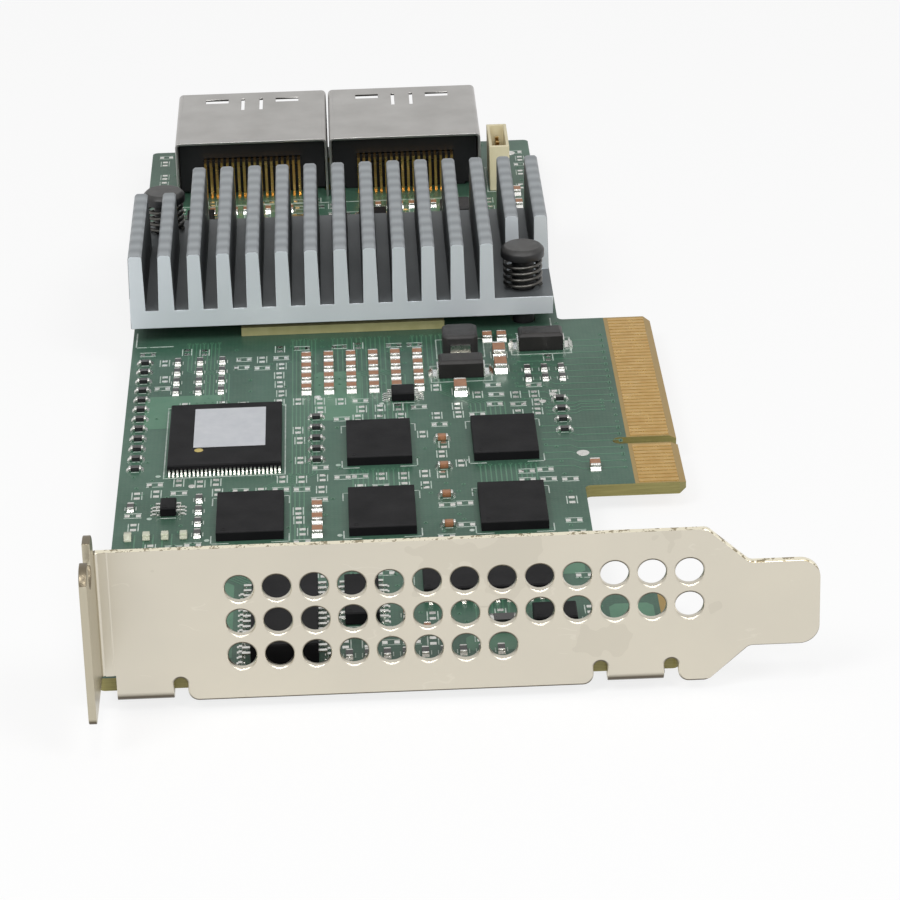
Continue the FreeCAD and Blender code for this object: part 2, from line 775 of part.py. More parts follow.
def make_inductors():
    terminals = []
    strip = end_terminal(inductor_terminal_width, inductor_terminal_height, terminal_foot)
    half = inductor_side / 2
    for number, place in enumerate(inductor_places, 1):
        x, y = place_of(place)
        top = board_top + inductor_height
        body = slab(x - half, x + half, y - half, y + half, board_top, top)
        corners = [(x + dx, y + dy) for dx in (-half, half) for dy in (-half, half)]
        body = body.makeChamfer(inductor_corner, edges_through(body, "z", corners))
        keep("power_inductor_%d" % number, body.makeChamfer(inductor_corner / 2, top_edges(body, top)))
        terminals.append(placed(strip, x, y + half, board_top, 0))
        terminals.append(placed(strip, x, y - half, board_top, 180))
    keep("inductor_terminals", *terminals)


def make_tantalums():
    terminals = []
    strip = end_terminal(tantalum_terminal_width, tantalum_terminal_height, terminal_foot)
    half_x = tantalum_length / 2
    half_y = tantalum_width / 2
    for number, place in enumerate(tantalum_places, 1):
        x, y = place_of(place)
        top = board_top + tantalum_height
        body = slab(x - half_x, x + half_x, y - half_y, y + half_y, board_top, top)
        keep("tantalum_capacitor_%d" % number,
             body.makeChamfer(tantalum_chamfer, top_edges(body, top)))
        terminals.append(placed(strip, x + half_x, y, board_top, -90))
        terminals.append(placed(strip, x - half_x, y, board_top, 90))
    keep("tantalum_terminals", *terminals)


# ---------------------------------------------------------------- chip capacitors and resistors
def chip_part(x, y, size, height, along_y, z0):
    """A chip part's body and its two metal ends."""
    length, width, band = size[0], size[1], size[3]
    half = length / 2
    pieces = [(-half + band, half - band), (-half, -half + band), (half - band, half)]
    solids = []
    for start, finish in pieces:
        if along_y:
            solid = slab(x - width / 2, x + width / 2, y + start, y + finish, z0, z0 + height)
        else:
            solid = slab(x + start, x + finish, y - width / 2, y + width / 2, z0, z0 + height)
        solids.append(solid)
    return solids[0], solids[1:]


def chip_field(field, height_share, above):
    columns, rows, pitch_x, pitch_y, size, along_y = field[3:]
    first_x, first_y = place_of(field[:3])
    height = size[2] * height_share
    z0 = board_top if above else board_bottom - height
    bodies = []
    ends = []
    for i in range(columns):
        for j in range(rows):
            body, pair = chip_part(first_x + i * pitch_x, first_y + j * pitch_y, size, height,
                                   along_y, z0)
            bodies.append(body)
            ends += pair
    return bodies, ends


def make_chip_parts():
    groups = (("capacitor", capacitor_fields, 1.0, True),
              ("resistor", resistor_fields, resistor_height_share, True),
              ("underside_capacitor", (underside_field,), 1.0, False))
    for name, fields, height_share, above in groups:
        bodies = []
        ends = []
        for field in fields:
            field_bodies, field_ends = chip_field(field, height_share, above)
            bodies += field_bodies
            ends += field_ends
        keep(name + "_bodies", *bodies)
        keep(name + "_ends", *ends)


# ---------------------------------------------------------------- cable sockets
def leg_footprints(centre):
    """Board-lock legs: x range and y range of each leg of one socket's shell."""
    prints = []
    for place in leg_places:
        y0 = shell_front + place
        for side in (-1, 1):
            outer = centre + side * shell_width / 2
            inner = outer - side * shell_sheet
            prints.append((min(outer, inner), max(outer, inner), y0, y0 + leg_width))
    return prints


def socket_shell(centre):
    """Stamped steel shield: a tube at the cable mouth, open below over the contact tails."""
    x0 = centre - shell_width / 2
    x1 = centre + shell_width / 2
    top = board_top + shell_height
    shell = slab(x0, x1, shell_front, shell_rear, board_top, top)
    shell = rounded(shell, "y", [(x0, top), (x1, top)], shell_round)
    inside = slab(x0 + shell_sheet, x1 - shell_sheet, shell_front, shell_rear,
                  board_top + shell_sheet, top - shell_sheet)
    inside = rounded(inside, "y", [(x0 + shell_sheet, top - shell_sheet),
                                   (x1 - shell_sheet, top - shell_sheet)],
                     shell_round - shell_sheet)
    shell = shell.cut(inside)
    shell = shell.cut(slab(x0 + shell_sheet, x1 - shell_sheet, shell_front,
                           shell_rear - port_length, board_top, board_top + shell_sheet))
    window_width, window_length = latch_window
    for side in (-1, 1):
        middle = centre + side * latch_window_from_centre
        mouth = shell_rear - latch_window_from_mouth
        shell = shell.cut(slab(middle - window_width / 2, middle + window_width / 2,
                               mouth - window_length, mouth, top - shell_sheet, top))
    for side in (-1, 1):
        edge = centre + side * (spring_tongue_width + spring_slot_width) / 2
        finish = shell_rear - latch_window_from_mouth
        shell = shell.cut(slab(edge - spring_slot_width / 2, edge + spring_slot_width / 2,
                               finish - spring_slot_length, finish, top - shell_sheet, top))
    legs = [slab(a, b, c, d, board_bottom - leg_below_board, board_top + shell_sheet)
            for a, b, c, d in leg_footprints(centre)]
    return shell.fuse(legs).removeSplitter()


def socket_housing(centre):
    """Black insulator: a block with a nose, and a slot that the cable's paddle card enters."""
    gap = housing_gap + shell_sheet
    y0 = shell_front + housing_start
    y1 = y0 + housing_length
    block = slab(centre - shell_width / 2 + gap, centre + shell_width / 2 - gap, y0, y1,
                 board_top + shell_sheet, board_top + shell_height - gap)
    block = rounded(block, "y", [(centre + side * (shell_width / 2 - gap),
                                  board_top + shell_height - gap) for side in (-1, 1)], shell_round)
    foot_x = nose_width / 2
    foot = slab(centre - foot_x, centre + foot_x, y0, shell_rear - port_length,
                board_top, board_top + shell_sheet)
    nose = slab(centre - nose_width / 2, centre + nose_width / 2, y1, y1 + nose_length,
                slot_centre - nose_height / 2, slot_centre + nose_height / 2)
    nose = nose.makeChamfer(wire_thickness, [edge for edge in nose.Edges
                                             if all(abs(v.Y - y1 - nose_length) < same_place
                                                    for v in edge.Vertexes)])
    housing = block.fuse([foot, nose])
    housing = housing.cut(slab(centre - slot_width / 2, centre + slot_width / 2,
                               y1 + nose_length - slot_depth, y1 + nose_length,
                               slot_centre - slot_height / 2, slot_centre + slot_height / 2))
    row = (wire_count - 1) * wire_pitch / 2 + wire_width / 2
    for z0 in (slot_centre + slot_height / 2 - wire_thickness, slot_centre - slot_height / 2):
        housing = housing.cut(slab(centre - row, centre + row, y0, y1 + nose_length - slot_depth,
                                   z0, z0 + wire_thickness))
    return housing.removeSplitter()


def contact_wire(top, setback):
    """One contact: a blade in the slot, a run through the housing, a drop and a soldered foot."""
    y0 = shell_front + housing_start
    blade_end = y0 + housing_length + nose_length - wire_pitch
    drop = y0 - setback
    t = wire_thickness
    points = [(blade_end, top), (drop, top), (drop, board_top + t), (drop - tail_foot, board_top + t),
              (drop - tail_foot, board_top), (drop + t, board_top), (drop + t, top - t),
              (blade_end, top - t)]
    return prism([Vector(-wire_width / 2, y, z) for y, z in points], Vector(wire_width, 0, 0))


def make_sockets():
    upper = contact_wire(slot_centre + slot_height / 2, upper_tail_setback)
    lower = contact_wire(slot_centre - slot_height / 2 + wire_thickness, lower_tail_setback)
    for number, centre in enumerate(socket_centres, 1):
        keep("socket_shell_%d" % number, socket_shell(centre))
        keep("socket_housing_%d" % number, socket_housing(centre))
        wires = []
        for i in range(wire_count):
            x = centre + (i - (wire_count - 1) / 2) * wire_pitch
            wires += [placed(upper, x, 0, 0, 0), placed(lower, x, 0, 0, 0)]
        keep("socket_contacts_%d" % number, *wires)


# ---------------------------------------------------------------- upright header
def header_pin_places():
    first = header_y - (header_pins - 1) / 2 * header_pitch
    return [(header_x, first + i * header_pitch) for i in range(header_pins)]


def make_header():
    x, y = header_x, header_y
    half_x = header_width / 2
    half_y = (header_pins - 1) * header_pitch / 2 + header_end_margin
    top = board_top + header_height
    floor = board_top + header_floor
    shroud = slab(x - half_x, x + half_x, y - half_y, y + half_y, board_top, top)
    shroud = shroud.cut(slab(x - half_x + header_wall, x + half_x - header_wall,
                             y - half_y + header_wall, y + half_y - header_wall, floor, top))
    pins = []
    for pin_x, pin_y in header_pin_places():
        half = header_pin / 2
        shroud = shroud.cut(slab(pin_x - half, pin_x + half, pin_y - half, pin_y + half,
                                 board_top, floor))
        pins.append(slab(pin_x - half, pin_x + half, pin_y - half, pin_y + half,
                         board_bottom - header_pin_below_board, top - header_pin_top_gap))
    keep("header_shroud", shroud)
    keep("header_pins", *pins)


# ---------------------------------------------------------------- build and write
def build():
    make_bracket()
    make_bracket_screws()
    make_board()
    make_edge_contacts()
    make_heatsink()
    make_push_pins()
    make_processor()
    make_memory_chips()
    make_flash()
    make_small_chips()
    make_clock()
    make_status_lights()
    make_inductors()
    make_tantalums()
    make_chip_parts()
    make_sockets()
    make_header()
    lowest = board_bottom - pin_tip_below_board
    to_origin = Vector(-plate_length / 2, (flange_depth - shell_rear) / 2, -lowest)
    os.makedirs("parts", exist_ok=True)
    for name, shape in nodes.items():
        shape.translate(to_origin)
        shape.exportStep("parts/%s.step" % name)
        print("%-26s solids %3d  volume %10.3f" % (name, len(shape.Solids), shape.Volume))
    print("moved by", to_origin)


build()
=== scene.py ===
import json
import math
import random

import bmesh
import bpy
from mathutils import Matrix, Quaternion, Vector


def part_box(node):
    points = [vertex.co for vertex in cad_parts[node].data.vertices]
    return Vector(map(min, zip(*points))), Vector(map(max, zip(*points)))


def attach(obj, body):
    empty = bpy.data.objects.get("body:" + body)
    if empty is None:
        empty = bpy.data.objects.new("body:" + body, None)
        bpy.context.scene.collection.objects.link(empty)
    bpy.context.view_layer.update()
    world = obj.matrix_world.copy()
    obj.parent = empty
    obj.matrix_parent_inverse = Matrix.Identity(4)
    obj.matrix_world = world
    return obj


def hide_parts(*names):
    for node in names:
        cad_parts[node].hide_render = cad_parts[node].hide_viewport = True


# Looks of the storage controller card: finishes for its pieces, the copper, print and solder on
# its board, and the light and camera. The card's lengths are written in millimetres and used as
# metres. The lamps stand at places given in metres.

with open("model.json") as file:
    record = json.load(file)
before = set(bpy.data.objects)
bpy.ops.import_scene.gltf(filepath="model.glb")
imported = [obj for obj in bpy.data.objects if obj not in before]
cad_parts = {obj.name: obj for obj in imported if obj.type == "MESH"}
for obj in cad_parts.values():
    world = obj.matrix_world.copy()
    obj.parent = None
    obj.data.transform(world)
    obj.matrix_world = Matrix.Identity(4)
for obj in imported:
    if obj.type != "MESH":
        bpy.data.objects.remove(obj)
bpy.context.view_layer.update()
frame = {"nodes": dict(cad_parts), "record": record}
cad = frame["nodes"]
mm = 0.001
board_low, board_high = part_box("circuit_board")
board_top = board_high.z
board_bottom = board_low.z


def on_board(across, along):
    """A place on the board, from its top edge and its front edge, in millimetres."""
    return Vector((board_low.x + across * mm, board_low.y + along * mm, board_top))


def paint(red, green, blue):
    """A colour as a paint chart gives it, 0 to 255, turned into the shader's linear values."""
    values = []
    for share in (red / 255, green / 255, blue / 255):
        values.append(share / 12.92 if share <= 0.04045 else ((share + 0.055) / 1.055) ** 2.4)
    return (*values, 1.0)


# ---------------------------------------------------------------- shared surface effects
number_kind = "NodeSocketFloat"
vector_kind = "NodeSocketVector"
colour_kind = "NodeSocketColor"


def effect(name, inputs, outputs):
    """An empty node group that takes a place and the named values, and its two end nodes."""
    group = bpy.data.node_groups.new(name, "ShaderNodeTree")
    for label, kind, value in [("Place", vector_kind, (0, 0, 0))] + inputs:
        socket = group.interface.new_socket(label, in_out="INPUT", socket_type=kind)
        socket.default_value = value
    for label, kind in outputs:
        group.interface.new_socket(label, in_out="OUTPUT", socket_type=kind)
    return group, group.nodes.new("NodeGroupInput"), group.nodes.new("NodeGroupOutput")


def add(tree, kind, **settings):
    node = tree.nodes.new(kind)
    for key, value in settings.items():
        setattr(node, key, value)
    return node


def join(tree, source, target):
    tree.links.new(source, target)


def maths(tree, operation, first, second, clamp=False):
    node = add(tree, "ShaderNodeMath", operation=operation, use_clamp=clamp)
    for socket, value in zip(node.inputs, (first, second)):
        if isinstance(value, (int, float)):
            socket.default_value = value
        else:
            join(tree, value, socket)
    return node.outputs[0]


def blended(tree, mask, first, second):
    node = add(tree, "ShaderNodeMix", data_type="RGBA")
    for at, value in ((0, mask), (6, first), (7, second)):
        if isinstance(value, (int, float, tuple)):
            node.inputs[at].default_value = value
        else:
            join(tree, value, node.inputs[at])
    return node.outputs[2]


def noise(tree, vector, scale, detail, roughness=0.5):
    node = add(tree, "ShaderNodeTexNoise")
    join(tree, vector, node.inputs["Vector"])
    node.inputs["Detail"].default_value = detail
    node.inputs["Roughness"].default_value = roughness
    if isinstance(scale, (int, float)):
        node.inputs["Scale"].default_value = scale
    else:
        join(tree, scale, node.inputs["Scale"])
    return node.outputs["Fac"]


def stretched(group, given):
    """The given place, drawn out along the given stretch."""
    node = add(group, "ShaderNodeVectorMath", operation="MULTIPLY")
    join(group, given.outputs["Place"], node.inputs[0])
    join(group, given.outputs["Stretch"], node.inputs[1])
    return node.outputs[0]


def cloudy_tone():
    """Two tones of one finish, mixed in soft patches."""
    group, given, result = effect(
        "cloudy_tone",
        [("Tone", colour_kind, (1, 1, 1, 1)), ("Second Tone", colour_kind, (1, 1, 1, 1)),
         ("Patches", number_kind, 100.0), ("Contrast", number_kind, 1.0)],
        [("Color", colour_kind), ("Mask", number_kind)])
    patches = noise(group, given.outputs["Place"], given.outputs["Patches"], 4.0)
    centred = maths(group, "SUBTRACT", patches, 0.5)
    mask = maths(group, "MULTIPLY_ADD", centred, given.outputs["Contrast"], True)
    mask.node.inputs[2].default_value = 0.5
    join(group, blended(group, mask, given.outputs["Tone"], given.outputs["Second Tone"]),
         result.inputs["Color"])
    join(group, mask, result.inputs["Mask"])
    return group


def drawn_grain():
    """Fine noise stretched along the way a sheet was rolled, a wire drawn or a face sawn."""
    group, given, result = effect(
        "drawn_grain",
        [("Stretch", vector_kind, (1, 1, 1)), ("Fineness", number_kind, 1000.0)],
        [("Height", number_kind)])
    grain = noise(group, stretched(group, given), given.outputs["Fineness"], 3.0, 0.6)
    join(group, grain, result.inputs["Height"])
    return group


def hairline_scratches():
    """Sparse short scratches, as a mask of thin lines."""
    group, given, result = effect(
        "hairline_scratches",
        [("Stretch", vector_kind, (1, 1, 1)), ("Spacing", number_kind, 300.0),
         ("Sparse", number_kind, 0.62)],
        [("Mask", number_kind)])
    lines = noise(group, stretched(group, given), given.outputs["Spacing"], 2.0)
    near_line = maths(group, "ABSOLUTE", maths(group, "SUBTRACT", lines, 0.5), 0.0)
    thin = maths(group, "SUBTRACT", 1.0, maths(group, "MULTIPLY", near_line, 60.0), True)
    where = noise(group, given.outputs["Place"], 140.0, 2.0)
    kept = maths(group, "GREATER_THAN", where, given.outputs["Sparse"])
    join(group, maths(group, "MULTIPLY", thin, kept), result.inputs["Mask"])
    return group


def settled_dust():
    """A thin uneven film that lies only where the surface faces up."""
    group, given, result = effect(
        "settled_dust",
        [("Facing", vector_kind, (0, 0, 1)), ("Amount", number_kind, 0.1)],
        [("Mask", number_kind)])
    parts = add(group, "ShaderNodeSeparateXYZ")
    join(group, given.outputs["Facing"], parts.inputs[0])
    upward = maths(group, "MAXIMUM", parts.outputs["Z"], 0.0)
    specks = noise(group, given.outputs["Place"], 900.0, 5.0, 0.7)
    film = maths(group, "MULTIPLY", upward, specks)
    mask = maths(group, "MULTIPLY", film, given.outputs["Amount"], True)
    join(group, mask, result.inputs["Mask"])
    return group


cloudy_tone_group = cloudy_tone()
drawn_grain_group = drawn_grain()
scratches_group = hairline_scratches()
dust_group = settled_dust()
dust_colour = paint(190, 186, 176)


# ---------------------------------------------------------------- finishes
class Finish:
    """One material: a principled shader, the piece's own coordinates and helpers to wire them."""

    def __init__(self, name, roughness, metallic=0.0, specular=0.5):
        self.material = bpy.data.materials.new(name)
        self.material.use_nodes = True
        self.tree = self.material.node_tree
        self.shader = self.tree.nodes["Principled BSDF"]
        self.shader.inputs["Roughness"].default_value = roughness
        self.shader.inputs["Metallic"].default_value = metallic
        self.shader.inputs["Specular IOR Level"].default_value = specular
        coordinates = add(self.tree, "ShaderNodeTexCoord")
        self.place = coordinates.outputs["Object"]
        self.facing = add(self.tree, "ShaderNodeNewGeometry").outputs["Normal"]
        self.roughness = roughness

    def use(self, group, **values):
        node = add(self.tree, "ShaderNodeGroup", node_tree=group)
        join(self.tree, self.place, node.inputs["Place"])
        for label, value in values.items():
            node.inputs[label.replace("_", " ")].default_value = value
        return node

    def tones(self, tone, second, patches, contrast=2.0):
        node = self.use(cloudy_tone_group, Tone=tone, Second_Tone=second, Patches=patches,
                        Contrast=contrast)
        return node.outputs["Color"], node.outputs["Mask"]

    def dusty(self, colour, amount):
        dust = self.use(dust_group, Amount=amount)
        join(self.tree, self.facing, dust.inputs["Facing"])
        return blended(self.tree, dust.outputs["Mask"], colour, dust_colour)

    def bump(self, height, depth):
        node = add(self.tree, "ShaderNodeBump")
        node.inputs["Distance"].default_value = depth
        join(self.tree, height, node.inputs["Height"])
        join(self.tree, node.outputs["Normal"], self.shader.inputs["Normal"])

    def rough_between(self, mask, spread):
        low = self.maths("MULTIPLY_ADD", mask, spread)
        low.node.inputs[2].default_value = self.roughness - spread / 2
        join(self.tree, low, self.shader.inputs["Roughness"])

    def colour(self, socket):
        join(self.tree, socket, self.shader.inputs["Base Color"])

    def maths(self, operation, first, second, clamp=False):
        return maths(self.tree, operation, first, second, clamp)

    def split(self, vector):
        """The X, Y and Z of a vector, by letter."""
        parts = add(self.tree, "ShaderNodeSeparateXYZ")
        join(self.tree, vector, parts.inputs[0])
        return parts.outputs


def metal(name, tone, second, roughness, patches, stretch, fineness, depth, spread=0.12, dust=0.0):
    """Bare or plated metal with a grain along one way and soft changes of tone."""
    made = Finish(name, roughness, metallic=1.0)
    colour, mask = made.tones(tone, second, patches)
    grain = made.use(drawn_grain_group, Stretch=stretch, Fineness=fineness)
    made.colour(made.dusty(colour, dust) if dust else colour)
    made.rough_between(mask, spread)
    made.bump(grain.outputs["Height"], depth)
    return made.material


def moulding(name, tone, second, roughness, patches, fineness, depth, dust=0.12, specular=0.5):
    """Moulded plastic, ceramic or epoxy with a fine even tooth."""
    made = Finish(name, roughness, specular=specular)
    colour, mask = made.tones(tone, second, patches)
    tooth = made.use(drawn_grain_group, Stretch=(1, 1, 1), Fineness=fineness)
    made.colour(made.dusty(colour, dust))
    made.rough_between(mask, 0.1)
    made.bump(tooth.outputs["Height"], depth)
    return made.material


# The parts of the bracket whose cut edges show: its top, its foot and its flange's free edge.
sheared_from = 18.5 * mm
foot_from = 28.0 * mm
flange_to = -38.6 * mm


def plated_sheet():
    """Bright nickel plate on rolled steel: warm, faintly clouded, ragged where sheared, with a
    painted highlight on the up-facing cut edges, a painted dark reflection on the flange's top edge
    and painted shade on the flange's sides and on rims that face down.
    """
    made = Finish("plated_bracket_steel", 0.32, metallic=1.0)
    colour, mask = made.tones(paint(222, 215, 198), paint(210, 204, 190), 55.0, 1.6)
    grain = made.use(drawn_grain_group, Stretch=(0.08, 1.0, 1.0), Fineness=2600.0)
    scratch = made.use(scratches_group, Stretch=(0.35, 1.0, 1.0), Spacing=420.0, Sparse=0.60)
    smudge = noise(made.tree, made.place, 120.0, 3.0)
    smudged = made.maths("MULTIPLY", made.maths("GREATER_THAN", smudge, 0.62), 0.10)
    colour = blended(made.tree, smudged, colour, paint(150, 143, 128))
    colour = blended(made.tree, made.maths("MULTIPLY", scratch.outputs["Mask"], 0.18), colour,
                     paint(245, 240, 226))
    facing = made.split(made.facing)
    where = made.split(made.place)
    outer = made.maths("MAXIMUM", made.maths("GREATER_THAN", where["Z"], sheared_from),
                       made.maths("GREATER_THAN", where["X"], foot_from))
    sheared = made.maths("MULTIPLY", outer, made.maths("GREATER_THAN", facing["Z"], 0.3))
    flange_edge = made.maths("LESS_THAN", where["X"], flange_to)
    # On the flange's top edge the speck mask is pushed on almost everywhere, painting that edge
    # dark brown as a painted dark reflection.
    tears_and_flange_dark = noise(made.tree, made.place, 1500.0, 2.0, 0.7)
    tears_and_flange_dark = made.maths("ADD", tears_and_flange_dark, made.maths("MULTIPLY", flange_edge, 0.24))
    torn_or_flange_dark = made.maths("MULTIPLY", sheared, made.maths("GREATER_THAN", tears_and_flange_dark, 0.56))
    # Painted highlight: the up-facing cut edges of the top and the foot are painted near-white.
    colour = blended(made.tree, made.maths("MULTIPLY", sheared, 0.9), colour, paint(255, 247, 222))
    # Painted dark reflection on the flange's top edge; elsewhere the lighter brown specks are
    # ragged steel on the cut edge.
    speck_or_reflected_dark = blended(made.tree, flange_edge, paint(142, 126, 92), paint(84, 70, 50))
    colour = blended(made.tree, made.maths("MULTIPLY", torn_or_flange_dark, 0.85), colour, speck_or_reflected_dark)
    # Painted shade: the flange's sides, away from the cut edges, are darkened.
    upright = made.maths("MULTIPLY", flange_edge, made.maths("SUBTRACT", 1.0, sheared))
    colour = blended(made.tree, made.maths("MULTIPLY", upright, 0.8), colour, paint(186, 178, 156))
    # Painted shade: rims that face down are painted dark brown.
    under = made.maths("MULTIPLY", facing["Z"], -2.6)
    under = made.maths("SUBTRACT", under, 0.10, clamp=True)
    colour = blended(made.tree, made.maths("MULTIPLY", under, 0.92), colour, paint(72, 62, 46))
    made.colour(colour)
    made.rough_between(mask, 0.10)
    fine = made.maths("MULTIPLY", scratch.outputs["Mask"], grain.outputs["Height"])
    coarse = made.maths("MULTIPLY", made.maths("MULTIPLY", sheared, tears_and_flange_dark), 9.0)
    made.bump(made.maths("ADD", fine, coarse), 0.004 * mm)
    return made.material


def sawn_aluminium():
    """Extruded aluminium: lines along the fins on the sides, saw marks across the cut ends. The
    walls and floors of the channels are painted darker as shade and the fin tips a middle tone, so
    that only the cut ends keep the bright tone.
    """
    made = Finish("heatsink_aluminium", 0.46, metallic=0.4)
    colour, mask = made.tones(paint(222, 228, 232), paint(210, 217, 222), 90.0, 1.8)
    along = made.use(drawn_grain_group, Stretch=(1.0, 0.03, 1.0), Fineness=1500.0)
    across = made.use(drawn_grain_group, Stretch=(0.05, 1.0, 1.0), Fineness=2100.0)
    facing = made.split(made.facing)
    where = made.split(made.place)
    cut_end = made.maths("GREATER_THAN", made.maths("ABSOLUTE", facing["Y"], 0.0), 0.6)
    tip_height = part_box("heatsink")[1].z - 0.4 * mm
    tip = made.maths("GREATER_THAN", where["Z"], tip_height)
    sawn = made.maths("MAXIMUM", cut_end, tip)
    passes = add(made.tree, "ShaderNodeTexWave", wave_profile="SIN", bands_direction="Y")
    join(made.tree, made.place, passes.inputs["Vector"])
    passes.inputs["Scale"].default_value = 105.0
    passes.inputs["Distortion"].default_value = 1.5
    # Painted light and shade: fin tips get a middle tone with saw-pass bands, the channel walls and
    # floors a dark painted shade, the cut ends the bright base tone.
    milled = blended(made.tree, passes.outputs["Fac"], paint(140, 145, 148), paint(162, 167, 170))
    tip_light_or_wall_shade = blended(made.tree, tip, paint(104, 108, 110), milled)
    colour = blended(made.tree, cut_end, tip_light_or_wall_shade, colour)
    height = add(made.tree, "ShaderNodeMix", data_type="FLOAT")
    join(made.tree, sawn, height.inputs[0])
    join(made.tree, along.outputs["Height"], height.inputs[2])
    join(made.tree, across.outputs["Height"], height.inputs[3])
    made.colour(colour)
    made.rough_between(mask, 0.12)
    made.bump(height.outputs[0], 0.012 * mm)
    return made.material


def masked_board():
    """Green solder mask over glass cloth, bare laminate round the edges and on the tongue."""
    made = Finish("green_board", 0.36, specular=0.35)
    tree = made.tree
    colour, mask = made.tones(paint(48, 93, 74), paint(33, 75, 58), 75.0, 2.8)
    cloth_height = []
    for turn in (0.0, math.pi / 2):
        lines = add(tree, "ShaderNodeTexWave", wave_profile="SIN")
        turned = add(tree, "ShaderNodeMapping")
        turned.inputs["Rotation"].default_value = (0, 0, turn)
        join(tree, made.place, turned.inputs["Vector"])
        join(tree, turned.outputs[0], lines.inputs["Vector"])
        lines.inputs["Scale"].default_value = 620.0
        lines.inputs["Distortion"].default_value = 0.6
        cloth_height.append(lines.outputs["Fac"])
    cloth = made.maths("MULTIPLY", cloth_height[0], cloth_height[1])
    colour = blended(tree, made.maths("MULTIPLY", cloth, 0.16), colour, paint(70, 120, 92))
    where = made.split(made.place)
    bare_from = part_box("edge_contacts_top")[0].x - 0.5 * mm
    tongue = made.maths("GREATER_THAN", where["X"], bare_from)
    facing = made.split(made.facing)
    side = made.maths("LESS_THAN", made.maths("ABSOLUTE", facing["Z"], 0.0), 0.7)
    layers = made.use(drawn_grain_group, Stretch=(0.05, 0.05, 1.0), Fineness=5200.0)
    cut_edge = blended(tree, layers.outputs["Height"], paint(104, 98, 52), paint(158, 150, 94))
    laminate = blended(tree, side, paint(158, 128, 62), cut_edge)
    bare = made.maths("MAXIMUM", tongue, side)
    made.colour(made.dusty(blended(tree, bare, colour, laminate), 0.10))
    made.rough_between(mask, 0.08)
    made.bump(made.maths("MULTIPLY", cloth, mask), 0.006 * mm)
    return made.material


def covered_copper():
    """Tracks and planes of copper seen through the green mask."""
    made = Finish("covered_copper", 0.34, specular=0.4)
    colour, mask = made.tones(paint(74, 126, 98), paint(60, 112, 86), 160.0)
    made.colour(made.dusty(colour, 0.10))
    made.rough_between(mask, 0.08)
    made.bump(mask, 0.003 * mm)
    return made.material


def printed_ink():
    """White marking ink, thin enough for the mask to show through in places."""
    made = Finish("printed_ink", 0.62)
    colour, mask = made.tones(paint(205, 212, 206), paint(160, 182, 168), 1400.0, 3.0)
    made.colour(colour)
    made.bump(mask, 0.004 * mm)
    return made.material


def worn_gold():
    """Hard gold on the contacts, with the faint wipe lines of a slot's springs."""
    made = Finish("contact_gold", 0.30, metallic=1.0)
    colour, mask = made.tones(paint(214, 178, 112), paint(196, 156, 88), 500.0)
    wipe = made.use(scratches_group, Stretch=(0.06, 1.0, 1.0), Spacing=1600.0, Sparse=0.45)
    colour = blended(made.tree, made.maths("MULTIPLY", wipe.outputs["Mask"], 0.4), colour,
                     paint(232, 212, 168))
    made.colour(colour)
    made.rough_between(mask, 0.14)
    made.bump(wipe.outputs["Mask"], 0.003 * mm)
    return made.material


def blank_paper():
    """Matt white label stock with paper fibres."""
    made = Finish("white_label", 0.72, specular=0.3)
    colour, mask = made.tones(paint(204, 206, 210), paint(192, 195, 200), 700.0)
    fibres = made.use(drawn_grain_group, Stretch=(1.0, 0.35, 1.0), Fineness=2400.0)
    made.colour(made.dusty(colour, 0.06))
    made.bump(fibres.outputs["Height"], 0.01 * mm)
    return made.material


def clear_lens():
    """Pale resin over a lamp chip."""
    made = Finish("light_lens", 0.18)
    made.shader.inputs["Transmission Weight"].default_value = 0.35
    made.shader.inputs["IOR"].default_value = 1.5
    colour, mask = made.tones(paint(244, 244, 222), paint(226, 232, 204), 1200.0)
    made.colour(colour)
    made.bump(mask, 0.004 * mm)
    return made.material


finishes = {
    "plated_bracket_steel": plated_sheet(),
    "heatsink_aluminium": sawn_aluminium(),
    "green_board": masked_board(),
    "contact_gold": worn_gold(),
    "white_label": blank_paper(),
    "light_lens": clear_lens(),
    "covered_copper": covered_copper(),
    "printed_ink": printed_ink(),
}
wire_grain = (1.0, 1.0, 0.2)
# Two tones, roughness, patches, the grain's stretch and fineness, its depth, then spread and dust.
metals = {
    "screw_steel": (paint(196, 194, 188), paint(176, 174, 168), 0.32, 900.0, (1.0, 0.2, 1.0),
        3000.0, 0.006 * mm),
    "spring_steel": (paint(104, 102, 98), paint(80, 79, 77), 0.35, 1500.0, wire_grain, 6000.0,
        0.004 * mm),
    "lead_tin": (paint(234, 233, 228), paint(212, 211, 206), 0.28, 1800.0, (1.0, 1.0, 1.0), 5000.0,
        0.008 * mm, 0.16),
    "shell_steel": (paint(192, 190, 187), paint(176, 174, 171), 0.36, 160.0, (0.1, 1.0, 1.0),
        3200.0, 0.005 * mm, 0.12, 0.1),
    "processor_cap_metal": (paint(176, 172, 164), paint(158, 154, 148), 0.35, 300.0,
        (0.2, 1.0, 1.0), 3000.0, 0.004 * mm),
    "clock_lid_metal": (paint(196, 184, 150), paint(176, 166, 138), 0.32, 900.0, (0.3, 1.0, 1.0),
        4000.0, 0.004 * mm),
}
